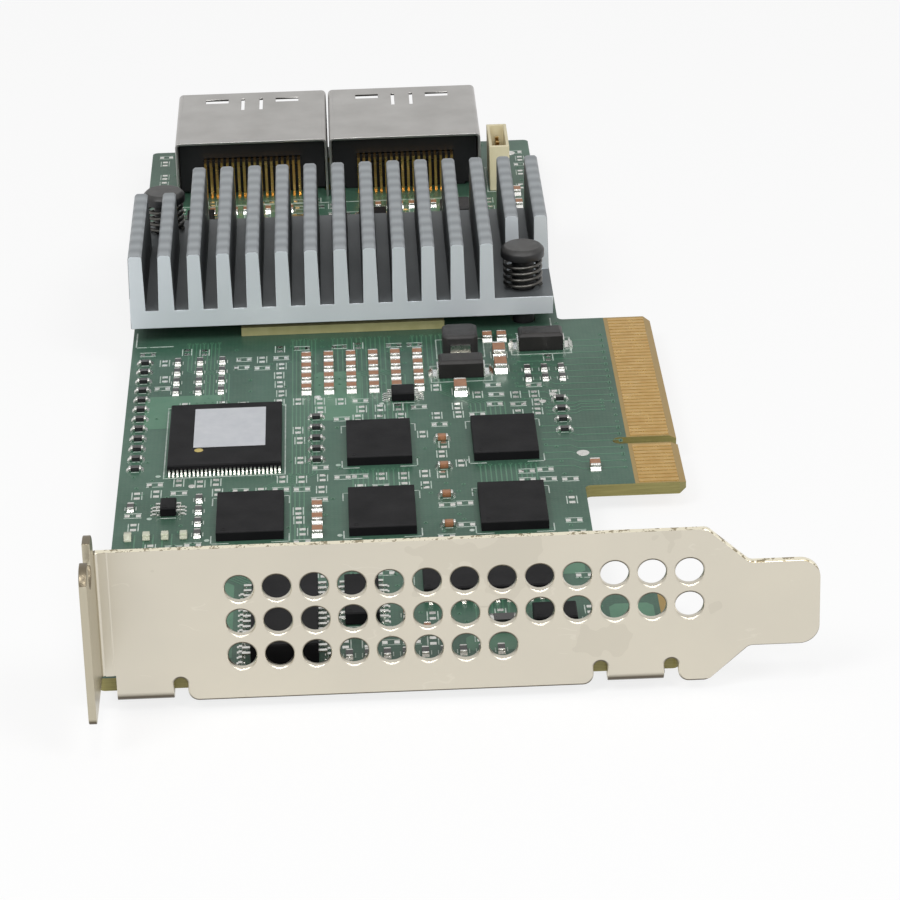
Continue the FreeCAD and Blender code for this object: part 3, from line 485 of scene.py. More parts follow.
# Two tones, roughness, patches, the tooth's fineness and depth, then dust and shine.
mouldings = {
    "black_nylon": (paint(30, 30, 32), paint(24, 24, 26), 0.42, 500.0, 3000.0, 0.01 * mm),
    "chip_black": (paint(24, 23, 25), paint(16, 16, 18), 0.55, 260.0, 5200.0, 0.012 * mm, 0.01,
        0.12),
    "housing_black": (paint(30, 30, 32), paint(23, 23, 25), 0.48, 400.0, 3600.0, 0.012 * mm, 0.04,
        0.35),
    "cream_plastic": (paint(226, 217, 184), paint(214, 203, 166), 0.5, 300.0, 3200.0, 0.01 * mm),
    "ferrite_grey": (paint(52, 50, 50), paint(40, 39, 40), 0.5, 900.0, 3800.0, 0.03 * mm, 0.04,
        0.4),
    "tantalum_black": (paint(34, 31, 30), paint(26, 24, 24), 0.45, 500.0, 4200.0, 0.012 * mm, 0.04,
        0.4),
    "capacitor_ceramic": (paint(164, 114, 80), paint(146, 98, 66), 0.5, 1500.0, 5200.0,
        0.008 * mm),
    "resistor_black": (paint(34, 34, 36), paint(26, 26, 28), 0.3, 1500.0, 5200.0, 0.006 * mm),
    "substrate_laminate": (paint(196, 190, 140), paint(176, 170, 118), 0.42, 500.0, 3800.0,
        0.008 * mm),
    "clock_ceramic": (paint(58, 52, 48), paint(48, 44, 42), 0.55, 900.0, 4200.0, 0.01 * mm),
    "grey_pad": (paint(150, 150, 150), paint(138, 138, 140), 0.7, 400.0, 2600.0, 0.02 * mm),
    "marking_paint": (paint(196, 176, 96), paint(176, 154, 78), 0.45, 1500.0, 4200.0, 0.008 * mm),
    # drilled_hole is a near-black painted shade standing in for the insides of the via holes.
    "drilled_hole": (paint(20, 30, 24), paint(14, 20, 16), 0.6, 900.0, 4200.0, 0.006 * mm, 0.0),
}
for recipes, maker in ((metals, metal), (mouldings, moulding)):
    for name, recipe in recipes.items():
        finishes[name] = maker(name, *recipe)
slot_of = {row["node"]: row["material_slot"] for row in frame["record"]["subparts"]}
for node_name, node in cad.items():
    node.data.materials.clear()
    node.data.materials.append(finishes[slot_of[node_name]])


# ---------------------------------------------------------------- making pieces
def placed(name, data):
    """A new object in the scene."""
    made = bpy.data.objects.new(name, data)
    bpy.context.scene.collection.objects.link(made)
    return made


def piece(name, work, finish, slot, *stands_for):
    """Turns a worked mesh into a finished object that rides on the card."""
    mesh = bpy.data.meshes.new(name)
    work.to_mesh(mesh)
    work.free()
    mesh.materials.append(finishes[finish])
    made = placed(name, mesh)
    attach(made, "root")
    if stands_for:
        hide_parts(*stands_for)
    return made


def block(work, low, high):
    """A closed block between two corners; returns its vertices."""
    low, high = Vector(low), Vector(high)
    verts = bmesh.ops.create_cube(work, size=1.0)["verts"]
    bmesh.ops.scale(work, verts=verts, vec=high - low)
    bmesh.ops.translate(work, verts=verts, vec=(low + high) / 2)
    return verts


def stamped(pattern, places):
    """One small shape repeated at many places."""
    sample = bpy.data.meshes.new("pattern")
    pattern.to_mesh(sample)
    pattern.free()
    work = bmesh.new()
    for place in places:
        first = len(work.verts)
        work.from_mesh(sample)
        work.verts.ensure_lookup_table()
        bmesh.ops.transform(work, matrix=place, verts=work.verts[first:])
    bpy.data.meshes.remove(sample)
    return work


def moved(place):
    return Matrix.Translation(place)


def ring(outer, inner, thickness, sides):
    """A flat washer shape standing on the board's surface."""
    work = bmesh.new()
    corners = [(inner, 0), (outer, 0), (outer, thickness), (inner, thickness)]
    verts = [work.verts.new((r, 0, z)) for r, z in corners]
    edges = [work.edges.new((verts[i], verts[(i + 1) % 4])) for i in range(4)]
    bmesh.ops.spin(work, geom=verts + edges, angle=math.tau, steps=sides, axis=(0, 0, 1),
                   cent=(0, 0, 0), use_merge=True)
    bmesh.ops.remove_doubles(work, verts=work.verts, dist=0.0001 * mm)
    bmesh.ops.recalc_face_normals(work, faces=work.faces)
    return work


def disc(radius, thickness, sides, rise=0.0):
    """A round pad with its lower face on the surface."""
    work = bmesh.new()
    bmesh.ops.create_cone(work, cap_ends=True, segments=sides, radius1=radius,
                          radius2=radius - rise, depth=thickness)
    bmesh.ops.translate(work, verts=work.verts, vec=(0, 0, thickness / 2))
    return work


touching = 0.001 * mm


def welded(node_name):
    """A copy of a CAD piece with its touching corners joined."""
    work = bmesh.new()
    work.from_mesh(cad[node_name].data)
    bmesh.ops.remove_doubles(work, verts=work.verts, dist=touching)
    return work


def loose_solids(node_name):
    """The lowest and highest corner of each separate solid in a CAD node."""
    work = welded(node_name)
    left = set(work.verts)
    boxes = []
    while left:
        edge_of_search = [left.pop()]
        found = []
        while edge_of_search:
            vert = edge_of_search.pop()
            found.append(vert.co)
            for link in vert.link_edges:
                other = link.other_vert(vert)
                if other in left:
                    left.remove(other)
                    edge_of_search.append(other)
        boxes.append((Vector([min(c[i] for c in found) for i in range(3)]),
                      Vector([max(c[i] for c in found) for i in range(3)])))
    work.free()
    return boxes


def break_edges(work, edges, size, steps):
    bmesh.ops.bevel(work, geom=edges, offset=size, segments=steps, profile=0.5, affect="EDGES",
                    clamp_overlap=False, loop_slide=False, material=-1)


def roll_front_rims(work):
    """The soft rims that a punch draws round the vents and along the foot of the sheet."""
    plate_front = min(v.co.y for v in work.verts if v.co.x > 0)
    rims = []
    for edge in work.edges:
        on_front = all(abs(v.co.y - plate_front) < 0.002 * mm and v.co.z < vents_to
                       and score_to < v.co.x < vents_end for v in edge.verts)
        low = all(v.co.z < vents_from for v in edge.verts)
        if (on_front and edge.is_manifold and (low or edge.calc_length() < rim_chord)
                and edge.calc_face_angle() > rim_turn):
            rims.append(edge)
    break_edges(work, rims, front_roll, 3)


def eased(node_name, edge, steps):
    """A CAD piece with its sharp edges broken, as tumbling or a mould leaves them."""
    work = welded(node_name)
    bmesh.ops.dissolve_limit(work, angle_limit=flat_turn, verts=work.verts, edges=work.edges)
    if node_name == "bracket":
        roll_front_rims(work)
    sharp = [e for e in work.edges if e.is_manifold and e.calc_face_angle() > sharp_turn
             and not any(score_from < v.co.x < score_to for v in e.verts)]
    break_edges(work, sharp, edge, steps)
    bmesh.ops.dissolve_degenerate(work, dist=touching, edges=work.edges)
    narrow = [face.calc_area() < narrow_face * face.calc_perimeter() for face in work.faces]
    made = piece(node_name + "_eased", work, slot_of[node_name], slot_of[node_name], node_name)
    made.data.set_sharp_from_angle(angle=shaded_turn)
    made.data.polygons.foreach_set("use_smooth", narrow)
    level = made.modifiers.new("level_faces", "WEIGHTED_NORMAL")
    level.keep_sharp = True
    return made


# How far two faces turn for the edge between them to count as flat, sharp, shaded or a rim.
flat_turn = math.radians(0.4)
sharp_turn = math.radians(35)
shaded_turn = math.radians(50)
rim_turn = math.radians(80)
# Where the bracket's vents and the scored line across it lie, and the sizes of its rolled rims.
vents_from = 4.50 * mm
vents_to = 18.00 * mm
vents_end = 27.50 * mm
rim_chord = 0.50 * mm
front_roll = 0.24 * mm
narrow_face = 0.30 * mm
score_from = -37.60 * mm
score_to = -37.10 * mm
eased_edges = {
    "bracket": (0.10, 2), "heatsink": (0.08, 1), "bracket_screws": (0.10, 2),
    "push_pins": (0.12, 2), "socket_shell_1": (0.06, 1), "socket_shell_2": (0.06, 1),
    "socket_housing_1": (0.10, 1), "socket_housing_2": (0.10, 1), "header_shroud": (0.10, 2),
    "power_inductor_1": (0.12, 2), "power_inductor_2": (0.12, 2),
    "tantalum_capacitor_1": (0.08, 1), "tantalum_capacitor_2": (0.08, 1),
    "capacitor_ends": (0.10, 2), "capacitor_bodies": (0.03, 1), "resistor_ends": (0.06, 1),
    "status_lights": (0.10, 2), "clock_lid": (0.15, 2), "flash_label": (0.02, 1),
}
for node_name, (edge, steps) in eased_edges.items():
    eased(node_name, edge * mm, steps)


# ---------------------------------------------------------------- copper, print and solder
copper_rise = 0.018 * mm
ink_rise = 0.03 * mm
track_width = 0.16


def track(work, path, width, shift, side=1):
    """A closed flat strip that follows a path of board places, set across the given shift."""
    z = board_top if side > 0 else board_bottom
    across = Vector((shift[0], shift[1], 0)).normalized() * width * mm / 2
    start = on_board(*path[0])
    start.z = z
    up = Vector((0, 0, side * copper_rise))
    corners = [start - across, start + across, start + across + up, start - across + up]
    face = work.faces.new([work.verts.new(corner) for corner in corners])
    for i in range(1, len(path)):
        step = Vector(((path[i][0] - path[i - 1][0]) * mm, (path[i][1] - path[i - 1][1]) * mm, 0))
        grown = bmesh.ops.extrude_face_region(work, geom=[face], use_keep_orig=(i == 1))
        face = next(item for item in grown["geom"] if isinstance(item, bmesh.types.BMFace))
        ends = [item for item in grown["geom"] if isinstance(item, bmesh.types.BMVert)]
        bmesh.ops.translate(work, verts=ends, vec=step)


# Each run: its first track's path, the step to the next track, and how many there are.
top_runs = [
    ([(26.5, 93), (26.5, 82), (28.3, 80.2), (28.3, 65)], (0.62, 0), 13),
    ([(37.0, 93), (37.0, 77), (43.8, 70.2), (43.8, 65)], (0.62, 0), 8),
    ([(28.6, 51.5), (28.6, 45.6)], (0.62, 0), 12),
    ([(44.2, 51.5), (44.2, 45.6)], (0.62, 0), 12),
    ([(21.2, 93), (21.2, 51), (16.6, 46.4), (16.6, 45.4)], (0.5, 0), 7),
    ([(7.5, 93), (7.5, 84), (9.0, 82.5), (9.0, 73.6)], (0.5, 0), 9),
    ([(2.6, 35.6), (2.6, 21), (4.4, 19.2), (4.4, 9)], (1.1, 0), 5),
    ([(21.0, 51), (21.0, 30), (19.0, 28), (19.0, 12)], (0.55, 0), 4),
    ([(13.0, 32), (13.0, 24), (16.0, 21), (16.0, 10)], (0.62, 0), 6),
    ([(30.5, 32), (30.5, 26), (28.0, 23.5), (28.0, 11)], (0.62, 0), 7),
    ([(45.5, 32), (45.5, 22), (42.0, 18.5), (42.0, 10)], (0.62, 0), 7),
    ([(9.2, 127), (9.2, 131), (11.2, 133), (11.2, 145.5)], (0.8, 0), 10),
    ([(31.4, 127), (31.4, 129), (33.4, 131), (33.4, 145.5)], (0.8, 0), 11),
    ([(53.2, 127), (53.2, 140), (51.6, 141.6), (51.6, 146)], (0.7, 0), 3),
    ([(50.6, 91), (53.4, 91), (55.0, 89.4), (61.9, 89.4)], (0, -2.0), 11),
    ([(52.4, 50.4), (55.6, 50.4), (56.6, 49.4), (61.9, 49.4)], (0, 2.0), 7),
    ([(53.5, 66), (57.0, 66), (57.8, 66.8), (60.5, 66.8)], (0, 1.0), 4),
]
bottom_runs = [
    ([(12, 84), (12, 60), (16, 56), (16, 30)], (0.9, 0), 9),
    ([(34, 84), (34, 62), (30, 58), (30, 28)], (0.9, 0), 9),
    ([(46, 130), (46, 112), (50, 108), (50, 88)], (0.9, 0), 6),
    ([(10, 146), (10, 132)], (1.2, 0), 12),
    ([(32, 146), (32, 132)], (1.2, 0), 12),
    ([(50, 92), (55, 92), (56, 91), (61.9, 91)], (0, -2.0), 20),
]


def make_tracks():
    via_places = []
    for name, runs, side in (("board_tracks_top", top_runs, 1),
                             ("board_tracks_bottom", bottom_runs, -1)):
        work = bmesh.new()
        for path, shift, count in runs:
            for i in range(count):
                lane = [(a + shift[0] * i, b + shift[1] * i) for a, b in path]
                track(work, lane, track_width, shift, side)
                via_places += [lane[0], lane[-1]] if i % 2 == 0 else [lane[-1]]
        bmesh.ops.recalc_face_normals(work, faces=work.faces)
        piece(name, work, "covered_copper", "green_board")
    return via_places


def clear_of(place, boxes, margin):
    return all(not (low.x - margin < place.x < high.x + margin
                    and low.y - margin < place.y < high.y + margin) for low, high in boxes)


covering = [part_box(name) for name in (
    "memory_chip_1", "memory_chip_2", "memory_chip_3", "memory_chip_4", "memory_chip_5",
    "flash_body", "heatsink", "socket_shell_1", "socket_shell_2", "header_shroud", "clock_base",
    "power_inductor_1", "power_inductor_2", "tantalum_capacitor_1", "tantalum_capacitor_2")]
small_parts = [box for name in ("capacitor_ends", "resistor_ends", "capacitor_bodies",
                                "resistor_bodies", "small_chip_bodies", "small_chip_leads",
                                "status_lights", "bracket_screws")
               for box in loose_solids(name)]
board_outline = [(0.8, 0.9, 55.8, 166.4), (55.8, 45.6, 62.4, 95.8), (55.8, 1.2, 62.6, 15.4)]


def inside_board(across, along):
    return any(a0 <= across <= a1 and b0 <= along <= b1 for a0, b0, a1, b1 in board_outline)


def make_vias(track_ends):
    """Plated holes at the ends of tracks and stitched between the planes."""
    columns, rows, share_kept = 27, 64, 0.34
    radius, drill = 0.27 * mm, 0.13 * mm
    spacing, from_chips, from_small = 0.75 * mm, 0.3 * mm, 0.35 * mm
    chance = random.Random(11)
    places = [end for end in track_ends if inside_board(*end)]
    for i in range(columns):
        for j in range(rows):
            across = 1.6 + i * 2.1 + chance.uniform(-0.7, 0.7)
            along = 2.0 + j * 2.6 + chance.uniform(-0.8, 0.8)
            if chance.random() < share_kept:
                places.append((across, along))
    spots = []
    for across, along in places:
        spot = on_board(across, along)
        apart = all((spot - other).length > spacing for other in spots[-60:])
        if (inside_board(across, along) and apart and clear_of(spot, covering, from_chips)
                and clear_of(spot, small_parts, from_small)):
            spots.append(spot)
    for name, side in (("via_rings_top", 1), ("via_rings_bottom", -1)):
        lifted = [moved(spot) if side > 0 else
                  moved((spot.x, spot.y, board_bottom)) @ Matrix.Rotation(math.pi, 4, "X")
                  for spot in spots]
        piece(name, stamped(ring(radius, drill, 0.03 * mm, 8), lifted), "covered_copper",
              "green_board")
        # The dark disc in each ring is painted shade standing in for the open hole.
        piece(name.replace("rings", "holes"), stamped(disc(0.14 * mm, 0.012 * mm, 8), lifted),
              "drilled_hole", "green_board")


def make_round_pads():
    """Tinned targets for the placing machine, test points, and the lands of the bracket screws."""
    targets = [(57.0, 53.9), (3.6, 22.0), (53.6, 162.0)]
    tests = [(53.0, 70.0), (54.4, 72.2), (24.4, 74.0), (9.0, 48.6), (23.6, 28.0), (40.4, 26.0),
             (50.6, 22.0), (3.6, 129.0), (26.6, 30.6), (53.4, 135.0)]
    for name, places, radius, sides in (("round_targets", targets, 0.80 * mm, 24),
                                        ("test_points", tests, 0.45 * mm, 16)):
        spots = [moved(on_board(*place)) for place in places]
        piece(name, stamped(disc(radius, 0.05 * mm, sides, 0.02 * mm), spots), "lead_tin",
              "lead_tin")
    lands = []
    for low, high in loose_solids("bracket_screws"):
        middle = (low + high) / 2
        lands.append(moved((middle.x, middle.y, board_top)))
    piece("screw_lands", stamped(ring(3.35 * mm, 1.7 * mm, 0.04 * mm, 40), lands), "lead_tin",
          "lead_tin")


def run_out(low, high, axis, sign, inside, outside):
    """A box over one end of another, from so far inside it to so far outside it."""
    end_low, end_high = low.copy(), high.copy()
    if sign > 0:
        end_low[axis], end_high[axis] = high[axis] - inside, high[axis] + outside
    else:
        end_low[axis], end_high[axis] = low[axis] - outside, low[axis] + inside
    return end_low, end_high


def solder_toe(work, low, high, outward, reach, climb):
    """A wedge of solder from the board up a metal end, running out on the given side."""
    axis = 0 if abs(outward[0]) > 0 else 1
    sign = outward[axis]
    toe_low, toe_high = run_out(low, high, axis, sign, 0.02 * mm, reach)
    toe_high.z = low.z + climb
    verts = block(work, toe_low, toe_high)
    outer = [v for v in verts if v.co.z > low.z + climb / 2
             and (v.co[axis] - (toe_low[axis] + toe_high[axis]) / 2) * sign > 0]
    bmesh.ops.translate(work, verts=outer, vec=(0, 0, -climb * 0.85))


def way_out(apart):
    """The main way from a body to its metal end, as a step of one along x or y."""
    if abs(apart.y) > abs(apart.x):
        return 0, math.copysign(1, apart.y)
    return math.copysign(1, apart.x), 0


def make_solder():
    """Solder on every small part: a toe at each metal end and under each lead's foot."""
    same_part, in_line, toe_reach, toe_climb = 2.0 * mm, 0.05 * mm, 0.28 * mm, 0.6
    work = bmesh.new()
    for ends_node, bodies_node in (("capacitor_ends", "capacitor_bodies"),
                                   ("resistor_ends", "resistor_bodies")):
        ends = loose_solids(ends_node)
        for low, high in loose_solids(bodies_node):
            middle = (low + high) / 2
            for end_low, end_high in ends:
                end = (end_low + end_high) / 2
                apart = end - middle
                if apart.length <= same_part and min(abs(apart.x), abs(apart.y)) < in_line:
                    solder_toe(work, end_low, end_high, way_out(apart), toe_reach,
                               (end_high.z - end_low.z) * toe_climb)
    for node_name in ("inductor_terminals", "tantalum_terminals"):
        for low, high in loose_solids(node_name):
            middle = (low + high) / 2
            bodies = [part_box(name) for name in cad if name.startswith(("power_", "tantalum_cap"))]
            body = min(bodies, key=lambda box: ((box[0] + box[1]) / 2 - middle).length)
            apart = middle - (body[0] + body[1]) / 2
            solder_toe(work, low, high, way_out(apart), 0.5 * mm, 0.6 * mm)
    bmesh.ops.recalc_face_normals(work, faces=work.faces)
    piece("solder_toes", work, "lead_tin", "lead_tin")

    work = bmesh.new()
    for node_name, longer in (("flash_leads", 0.25), ("small_chip_leads", 0.2)):
        body_node = "flash_body" if node_name == "flash_leads" else "small_chip_bodies"
        bodies = loose_solids(body_node)
        for low, high in loose_solids(node_name):
            middle = (low + high) / 2
            body_low, body_high = min(bodies, key=lambda b: ((b[0] + b[1]) / 2 - middle).length)
            axis = 1 if high.y - low.y > high.x - low.x else 0
            sign = math.copysign(1, middle[axis] - (body_low[axis] + body_high[axis]) / 2)
            pad_low, pad_high = run_out(low, high, axis, sign, 0.75 * mm, longer * mm)
            pad_low.z, pad_high.z = board_top, board_top + 0.03 * mm
            block(work, pad_low, pad_high)
    piece("lead_pads", work, "lead_tin", "lead_tin")


def make_pin_solder():
    """Cones of solder where the header's pins and the sockets' legs come through the board."""
    below = Matrix.Rotation(math.pi, 4, "X")
    spots = []
    for low, high in loose_solids("header_pins"):
        middle = (low + high) / 2
        spots.append(moved((middle.x, middle.y, board_bottom)) @ below)
    work = stamped(disc(0.75 * mm, 0.6 * mm, 16, 0.45 * mm), spots)
    piece("header_pin_solder", work, "lead_tin", "lead_tin")
    legs = bmesh.new()
    for number in (1, 2):
        low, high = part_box("socket_shell_%d" % number)
        for x in (low.x + 0.18 * mm, high.x - 0.18 * mm):
            for along in (3.8, 15.3):
                y = low.y + along * mm
                verts = block(legs, (x - 0.6 * mm, y - 1.2 * mm, board_bottom - 0.3 * mm),
                              (x + 0.6 * mm, y + 1.2 * mm, board_bottom))
                bottom = [v for v in verts if v.co.z < board_bottom - 0.15 * mm]
                bmesh.ops.scale(legs, verts=bottom, vec=(0.45, 0.8, 1.0),
                                space=moved((-x, -y, 0)))
    piece("socket_leg_solder", legs, "lead_tin", "lead_tin")


def ink_line(work, a0, b0, a1, b1):
    low, high = on_board(min(a0, a1), min(b0, b1)), on_board(max(a0, a1), max(b0, b1))
    high.z = board_top + ink_rise
    block(work, low, high)


def ink_frame(work, a0, b0, a1, b1, width=0.15, corners_only=0.0):
    """A printed outline, whole or only its corners, each arm as long as given."""
    if corners_only:
        for a, da in ((a0, 1), (a1, -1)):
            for b, db in ((b0, 1), (b1, -1)):
                ink_line(work, a, b, a + da * corners_only, b + db * width)
                ink_line(work, a, b, a + da * width, b + db * corners_only)
        return
    ink_line(work, a0, b0, a1, b0 + width)
    ink_line(work, a0, b1 - width, a1, b1)
    ink_line(work, a0, b0 + width, a0 + width, b1 - width)
    ink_line(work, a1 - width, b0 + width, a1, b1 - width)


def in_board_places(box):
    low, high = box
    return ((low.x - board_low.x) / mm, (low.y - board_low.y) / mm,
            (high.x - board_low.x) / mm, (high.y - board_low.y) / mm)


def make_print():
    """Plain outlines and orientation dots: no words."""
    work = bmesh.new()
    dots = []
    for number in range(1, 6):
        a0, b0, a1, b1 = in_board_places(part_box("memory_chip_%d" % number))
        ink_frame(work, a0 - 0.7, b0 - 0.7, a1 + 0.7, b1 + 0.7, corners_only=2.2)
        dots.append((a0 - 1.1, b0 + 0.4))
    a0, b0, a1, b1 = in_board_places(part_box("flash_body"))
    ink_frame(work, a0 - 0.5, b0 - 1.4, a1 + 0.5, b1 + 1.4)
    dots.append((a0 - 1.1, b0 - 0.6))
    a0, b0, a1, b1 = in_board_places(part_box("heatsink"))
    ink_frame(work, a0 + 0.5, b0 - 1.2, a1 - 0.2, b1 + 1.2, 0.18, corners_only=5.0)
    for node_name, margin in (("power_inductor_1", 0.9), ("power_inductor_2", 0.9),
                              ("tantalum_capacitor_1", 1.1), ("tantalum_capacitor_2", 1.1),
                              ("clock_base", 0.6), ("header_shroud", 0.4)):
        a0, b0, a1, b1 = in_board_places(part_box(node_name))
        ink_frame(work, a0 - margin, b0 - margin, a1 + margin, b1 + margin)
    for low, high in loose_solids("small_chip_bodies"):
        a0, b0, a1, b1 = in_board_places((low, high))
        ink_line(work, a0, b0 - 0.5, a1, b0 - 0.35)
        ink_line(work, a0, b1 + 0.35, a1, b1 + 0.5)
        dots.append((a0 - 1.3, b0 - 0.4))
    for number in (1, 2):
        a0, b0, a1, b1 = in_board_places(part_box("socket_shell_%d" % number))
        ink_line(work, a0, b0 - 2.6, a1, b0 - 2.42)
        dots.append((a0 + 1.0, b0 - 3.4))
    for node_name in ("capacitor_bodies", "resistor_bodies"):
        for low, high in loose_solids(node_name):
            a0, b0, a1, b1 = in_board_places((low, high))
            if a1 - a0 > b1 - b0:
                ink_line(work, a0, b0 - 0.32, a1, b0 - 0.20)
                ink_line(work, a0, b1 + 0.20, a1, b1 + 0.32)
            else:
                ink_line(work, a0 - 0.32, b0, a0 - 0.20, b1)
                ink_line(work, a1 + 0.20, b0, a1 + 0.32, b1)
    piece("printed_outlines", work, "printed_ink", "green_board")
    spots = [moved(on_board(*dot)) for dot in dots if inside_board(*dot)]
    piece("printed_dots", stamped(disc(0.32 * mm, ink_rise, 12), spots), "printed_ink",
          "green_board")


copper_fills = [
    (36.5, 99.0, 55.2, 112.0), (2.0, 131.0, 19.0, 144.6), (1.4, 3.0, 14.6, 22.0),
    (42.6, 21.0, 55.0, 31.0), (57.0, 4.0, 62.0, 13.0), (2.4, 66.0, 12.0, 76.0),
    (36.0, 129.0, 49.6, 144.6), (24.0, 66.6, 30.0, 82.0), (40.6, 3.0, 55.0, 6.8),
]


def make_copper_areas():
    """Filled areas of copper under the mask, with cut corners."""
    work = bmesh.new()
    for a0, b0, a1, b1 in copper_fills:
        low, high = on_board(a0, b0), on_board(a1, b1)
        high.z += copper_rise * 0.6
        verts = block(work, low, high)
        upright = {e for v in verts for e in v.link_edges
                   if abs(e.verts[0].co.z - e.verts[1].co.z) > copper_rise * 0.3}
        bmesh.ops.bevel(work, geom=list(upright), offset=0.7 * mm, segments=1, profile=0.5,
                        affect="EDGES", clamp_overlap=True, material=-1)
    piece("copper_areas", work, "covered_copper", "green_board")


def make_spare_lands():
    """Tinned lands, in printed brackets, for small parts that this version leaves off."""
    columns, rows, share_kept, share_turned = 22, 57, 0.66, 0.35
    chance = random.Random(7)
    spots = []
    for i in range(columns):
        for j in range(rows):
            across = 2.2 + i * 2.5 + chance.uniform(-0.3, 0.3)
            along = 3.0 + j * 2.9 + chance.uniform(-0.3, 0.3)
            spot = on_board(across, along)
            turned = chance.random() < share_turned
            if (chance.random() < share_kept and inside_board(across, along)
                    and clear_of(spot, covering, 1.5 * mm)
                    and clear_of(spot, small_parts, 1.1 * mm)):
                spots.append(moved(spot) @ Matrix.Rotation(math.pi / 2 * turned, 4, "Z"))
    lands = bmesh.new()
    marks = bmesh.new()
    for side in (-1, 1):
        y = side * 0.68 * mm
        block(lands, (-0.36 * mm, y - 0.30 * mm, 0), (0.36 * mm, y + 0.30 * mm, 0.03 * mm))
        x = side * 0.60 * mm
        block(marks, (x - 0.07 * mm, -1.05 * mm, 0), (x + 0.07 * mm, 1.05 * mm, ink_rise))
    piece("spare_lands", stamped(lands, spots), "lead_tin", "lead_tin")
    piece("spare_land_marks", stamped(marks, spots), "printed_ink", "green_board")


def make_chip_marks():
    """A shallow moulded dimple by the first lead of each chip, and a paint dot on the flash."""
    spots = []
    for number in range(1, 6):
        low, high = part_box("memory_chip_%d" % number)
        spots.append(moved((low.x + 0.9 * mm, low.y + 0.9 * mm, high.z - 0.004 * mm)))
    for low, high in loose_solids("small_chip_bodies"):
        spots.append(moved((low.x + 0.55 * mm, low.y + 0.55 * mm, high.z - 0.004 * mm)))
    piece("chip_dimples", stamped(ring(0.34 * mm, 0.24 * mm, 0.02 * mm, 20), spots), "chip_black",
          "chip_black")
    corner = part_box("flash_label")[0]
    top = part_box("flash_body")[1].z
    spot = [moved((corner.x + 0.7 * mm, corner.y - 0.75 * mm, top))]
    piece("flash_paint_dot", stamped(disc(0.55 * mm, 0.03 * mm, 24, 0.1 * mm), spot),
          "marking_paint", "chip_black")


def make_springs():
    """Smooth round wire in place of the eight-sided runs of the solids."""
    turns = 4.5
    steps_a_turn = 28
    wire = 0.25 * mm
    work = bmesh.new()
    for low, high in loose_solids("push_pin_springs"):
        middle = (low + high) / 2
        radius = (high.x - low.x) / 2 - wire
        rise = (high.z - low.z) - 2 * wire
        steps = round(turns * steps_a_turn)
        start = bmesh.ops.create_circle(work, cap_ends=True, segments=10, radius=wire)["verts"]
        stand = Matrix.Translation((middle.x + radius, middle.y, low.z + wire)) \
            @ Matrix.Rotation(math.pi / 2, 4, "X")
        bmesh.ops.transform(work, matrix=stand, verts=start)
        edges = list({e for v in start for e in v.link_edges})
        face = list({f for v in start for f in v.link_faces})
        swept = bmesh.ops.spin(work, geom=start + edges, angle=math.tau * turns, steps=steps,
                               axis=(0, 0, 1), cent=middle, dvec=(0, 0, rise / steps))
        last = [item for item in swept["geom_last"] if isinstance(item, bmesh.types.BMEdge)]
        bmesh.ops.contextual_create(work, geom=last)
    bmesh.ops.recalc_face_normals(work, faces=work.faces)
    for face in work.faces:
        face.smooth = len(face.verts) == 4
    piece("push_pin_springs_round", work, "spring_steel", "spring_steel", "push_pin_springs")


track_ends = make_tracks()
make_vias(track_ends)
make_round_pads()
make_solder()
make_pin_solder()
make_print()
make_copper_areas()
make_spare_lands()
make_chip_marks()
make_springs()


# ---------------------------------------------------------------- floor, light and camera
def part_white(tree, share, plain, white, output_kind):
    """Sends out a plain shader with a share of a white one over it."""
    mixed = add(tree, "ShaderNodeMixShader")
    join(tree, share, mixed.inputs[0])
    join(tree, plain.outputs[0], mixed.inputs[1])
    join(tree, white.outputs[0], mixed.inputs[2])
    join(tree, mixed.outputs[0], add(tree, output_kind).inputs["Surface"])


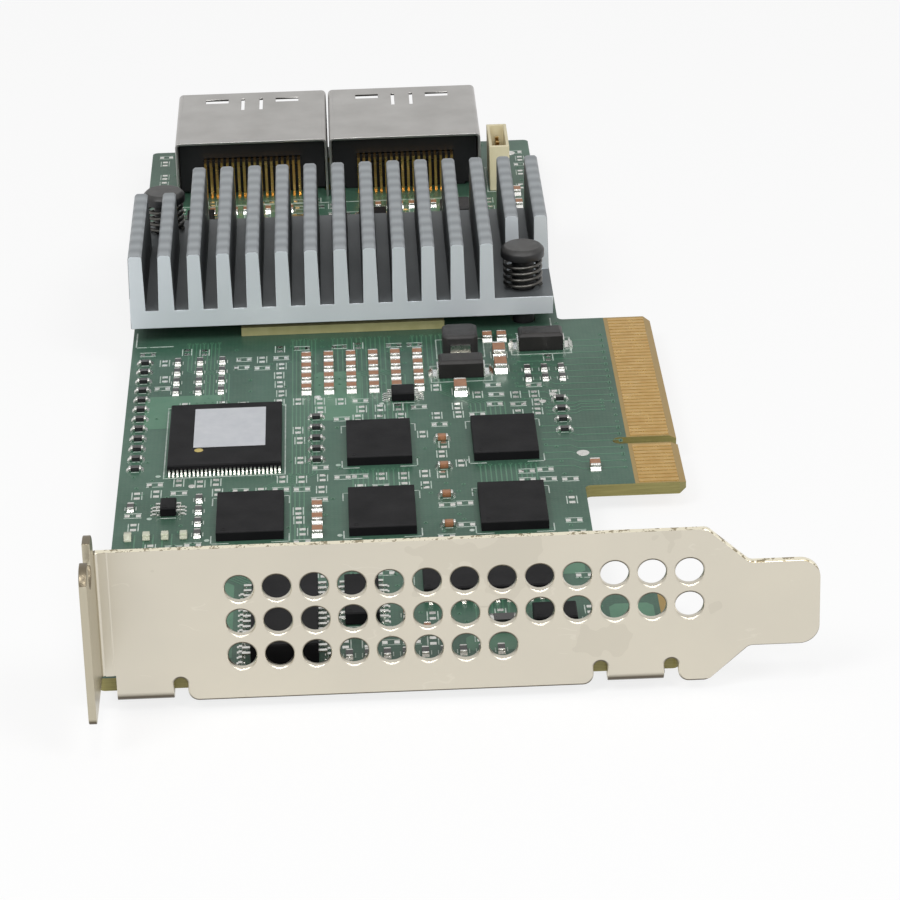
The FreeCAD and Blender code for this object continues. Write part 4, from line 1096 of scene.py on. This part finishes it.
def make_floor():
    work = bmesh.new()
    bmesh.ops.create_grid(work, x_segments=1, y_segments=1, size=2.0)
    mesh = bpy.data.meshes.new("floor")
    work.to_mesh(mesh)
    work.free()
    floor = placed("floor", mesh)
    material = bpy.data.materials.new("pale_floor")
    material.use_nodes = True
    tree = material.node_tree
    tree.nodes.clear()
    shaded = add(tree, "ShaderNodeBsdfDiffuse")
    shaded.inputs["Color"].default_value = (0.92, 0.92, 0.92, 1.0)
    white = add(tree, "ShaderNodeEmission")
    rays = add(tree, "ShaderNodeLightPath")
    seen = maths(tree, "MAXIMUM", rays.outputs["Is Camera Ray"], rays.outputs["Is Glossy Ray"])
    seen = maths(tree, "MAXIMUM", seen, rays.outputs["Is Transmission Ray"])
    part_white(tree, maths(tree, "MULTIPLY", seen, 0.80), shaded, white,
               "ShaderNodeOutputMaterial")
    mesh.materials.append(material)


def make_world():
    world = bpy.data.worlds.new("soft_room")
    bpy.context.scene.world = world
    world.use_nodes = True
    tree = world.node_tree
    tree.nodes.clear()
    room = add(tree, "ShaderNodeBackground")
    room.inputs["Strength"].default_value = 0.50
    white = add(tree, "ShaderNodeBackground")
    rays = add(tree, "ShaderNodeLightPath")
    shown = maths(tree, "MAXIMUM", rays.outputs["Is Camera Ray"], rays.outputs["Is Glossy Ray"])
    part_white(tree, shown, room, white, "ShaderNodeOutputWorld")


def make_lamp(name, place, target, width, power):
    data = bpy.data.lights.new(name, "AREA")
    data.shape = "DISK"
    data.size = width
    data.energy = power
    lamp = placed(name, data)
    lamp.location = place
    lamp.rotation_euler = (Vector(target) - Vector(place)).to_track_quat("-Z", "Y").to_euler()


def make_camera():
    place = Vector((-9.32, -432.065, 192.51)) * mm
    target = Vector((-0.20, -79.105, 30.28)) * mm
    roll = Quaternion((0, 0, 1), math.radians(-1.60))
    data = bpy.data.cameras.new("camera")
    data.lens = 146.3
    data.sensor_width = 36.0
    data.clip_start = 0.01
    camera = placed("camera", data)
    camera.location = place
    camera.rotation_mode = "QUATERNION"
    camera.rotation_quaternion = (target - place).to_track_quat("-Z", "Y") @ roll
    bpy.context.scene.camera = camera


make_floor()
make_world()
make_lamp("front_left_lamp", (-0.42, -0.52, 0.72), (0, -0.02, 0), 0.36, 2.5)
make_lamp("front_right_lamp", (0.46, -0.48, 0.68), (0, -0.02, 0), 0.36, 2.1)
make_lamp("low_front_lamp", (0.04, -0.86, 0.46), (0, -0.02, 0), 0.20, 1.7)
make_lamp("glint_lamp", (-0.02, -0.36, 0.86), (0, -0.06, 0), 0.05, 0.7)
make_camera()
bpy.context.scene.view_settings.view_transform = "Standard"
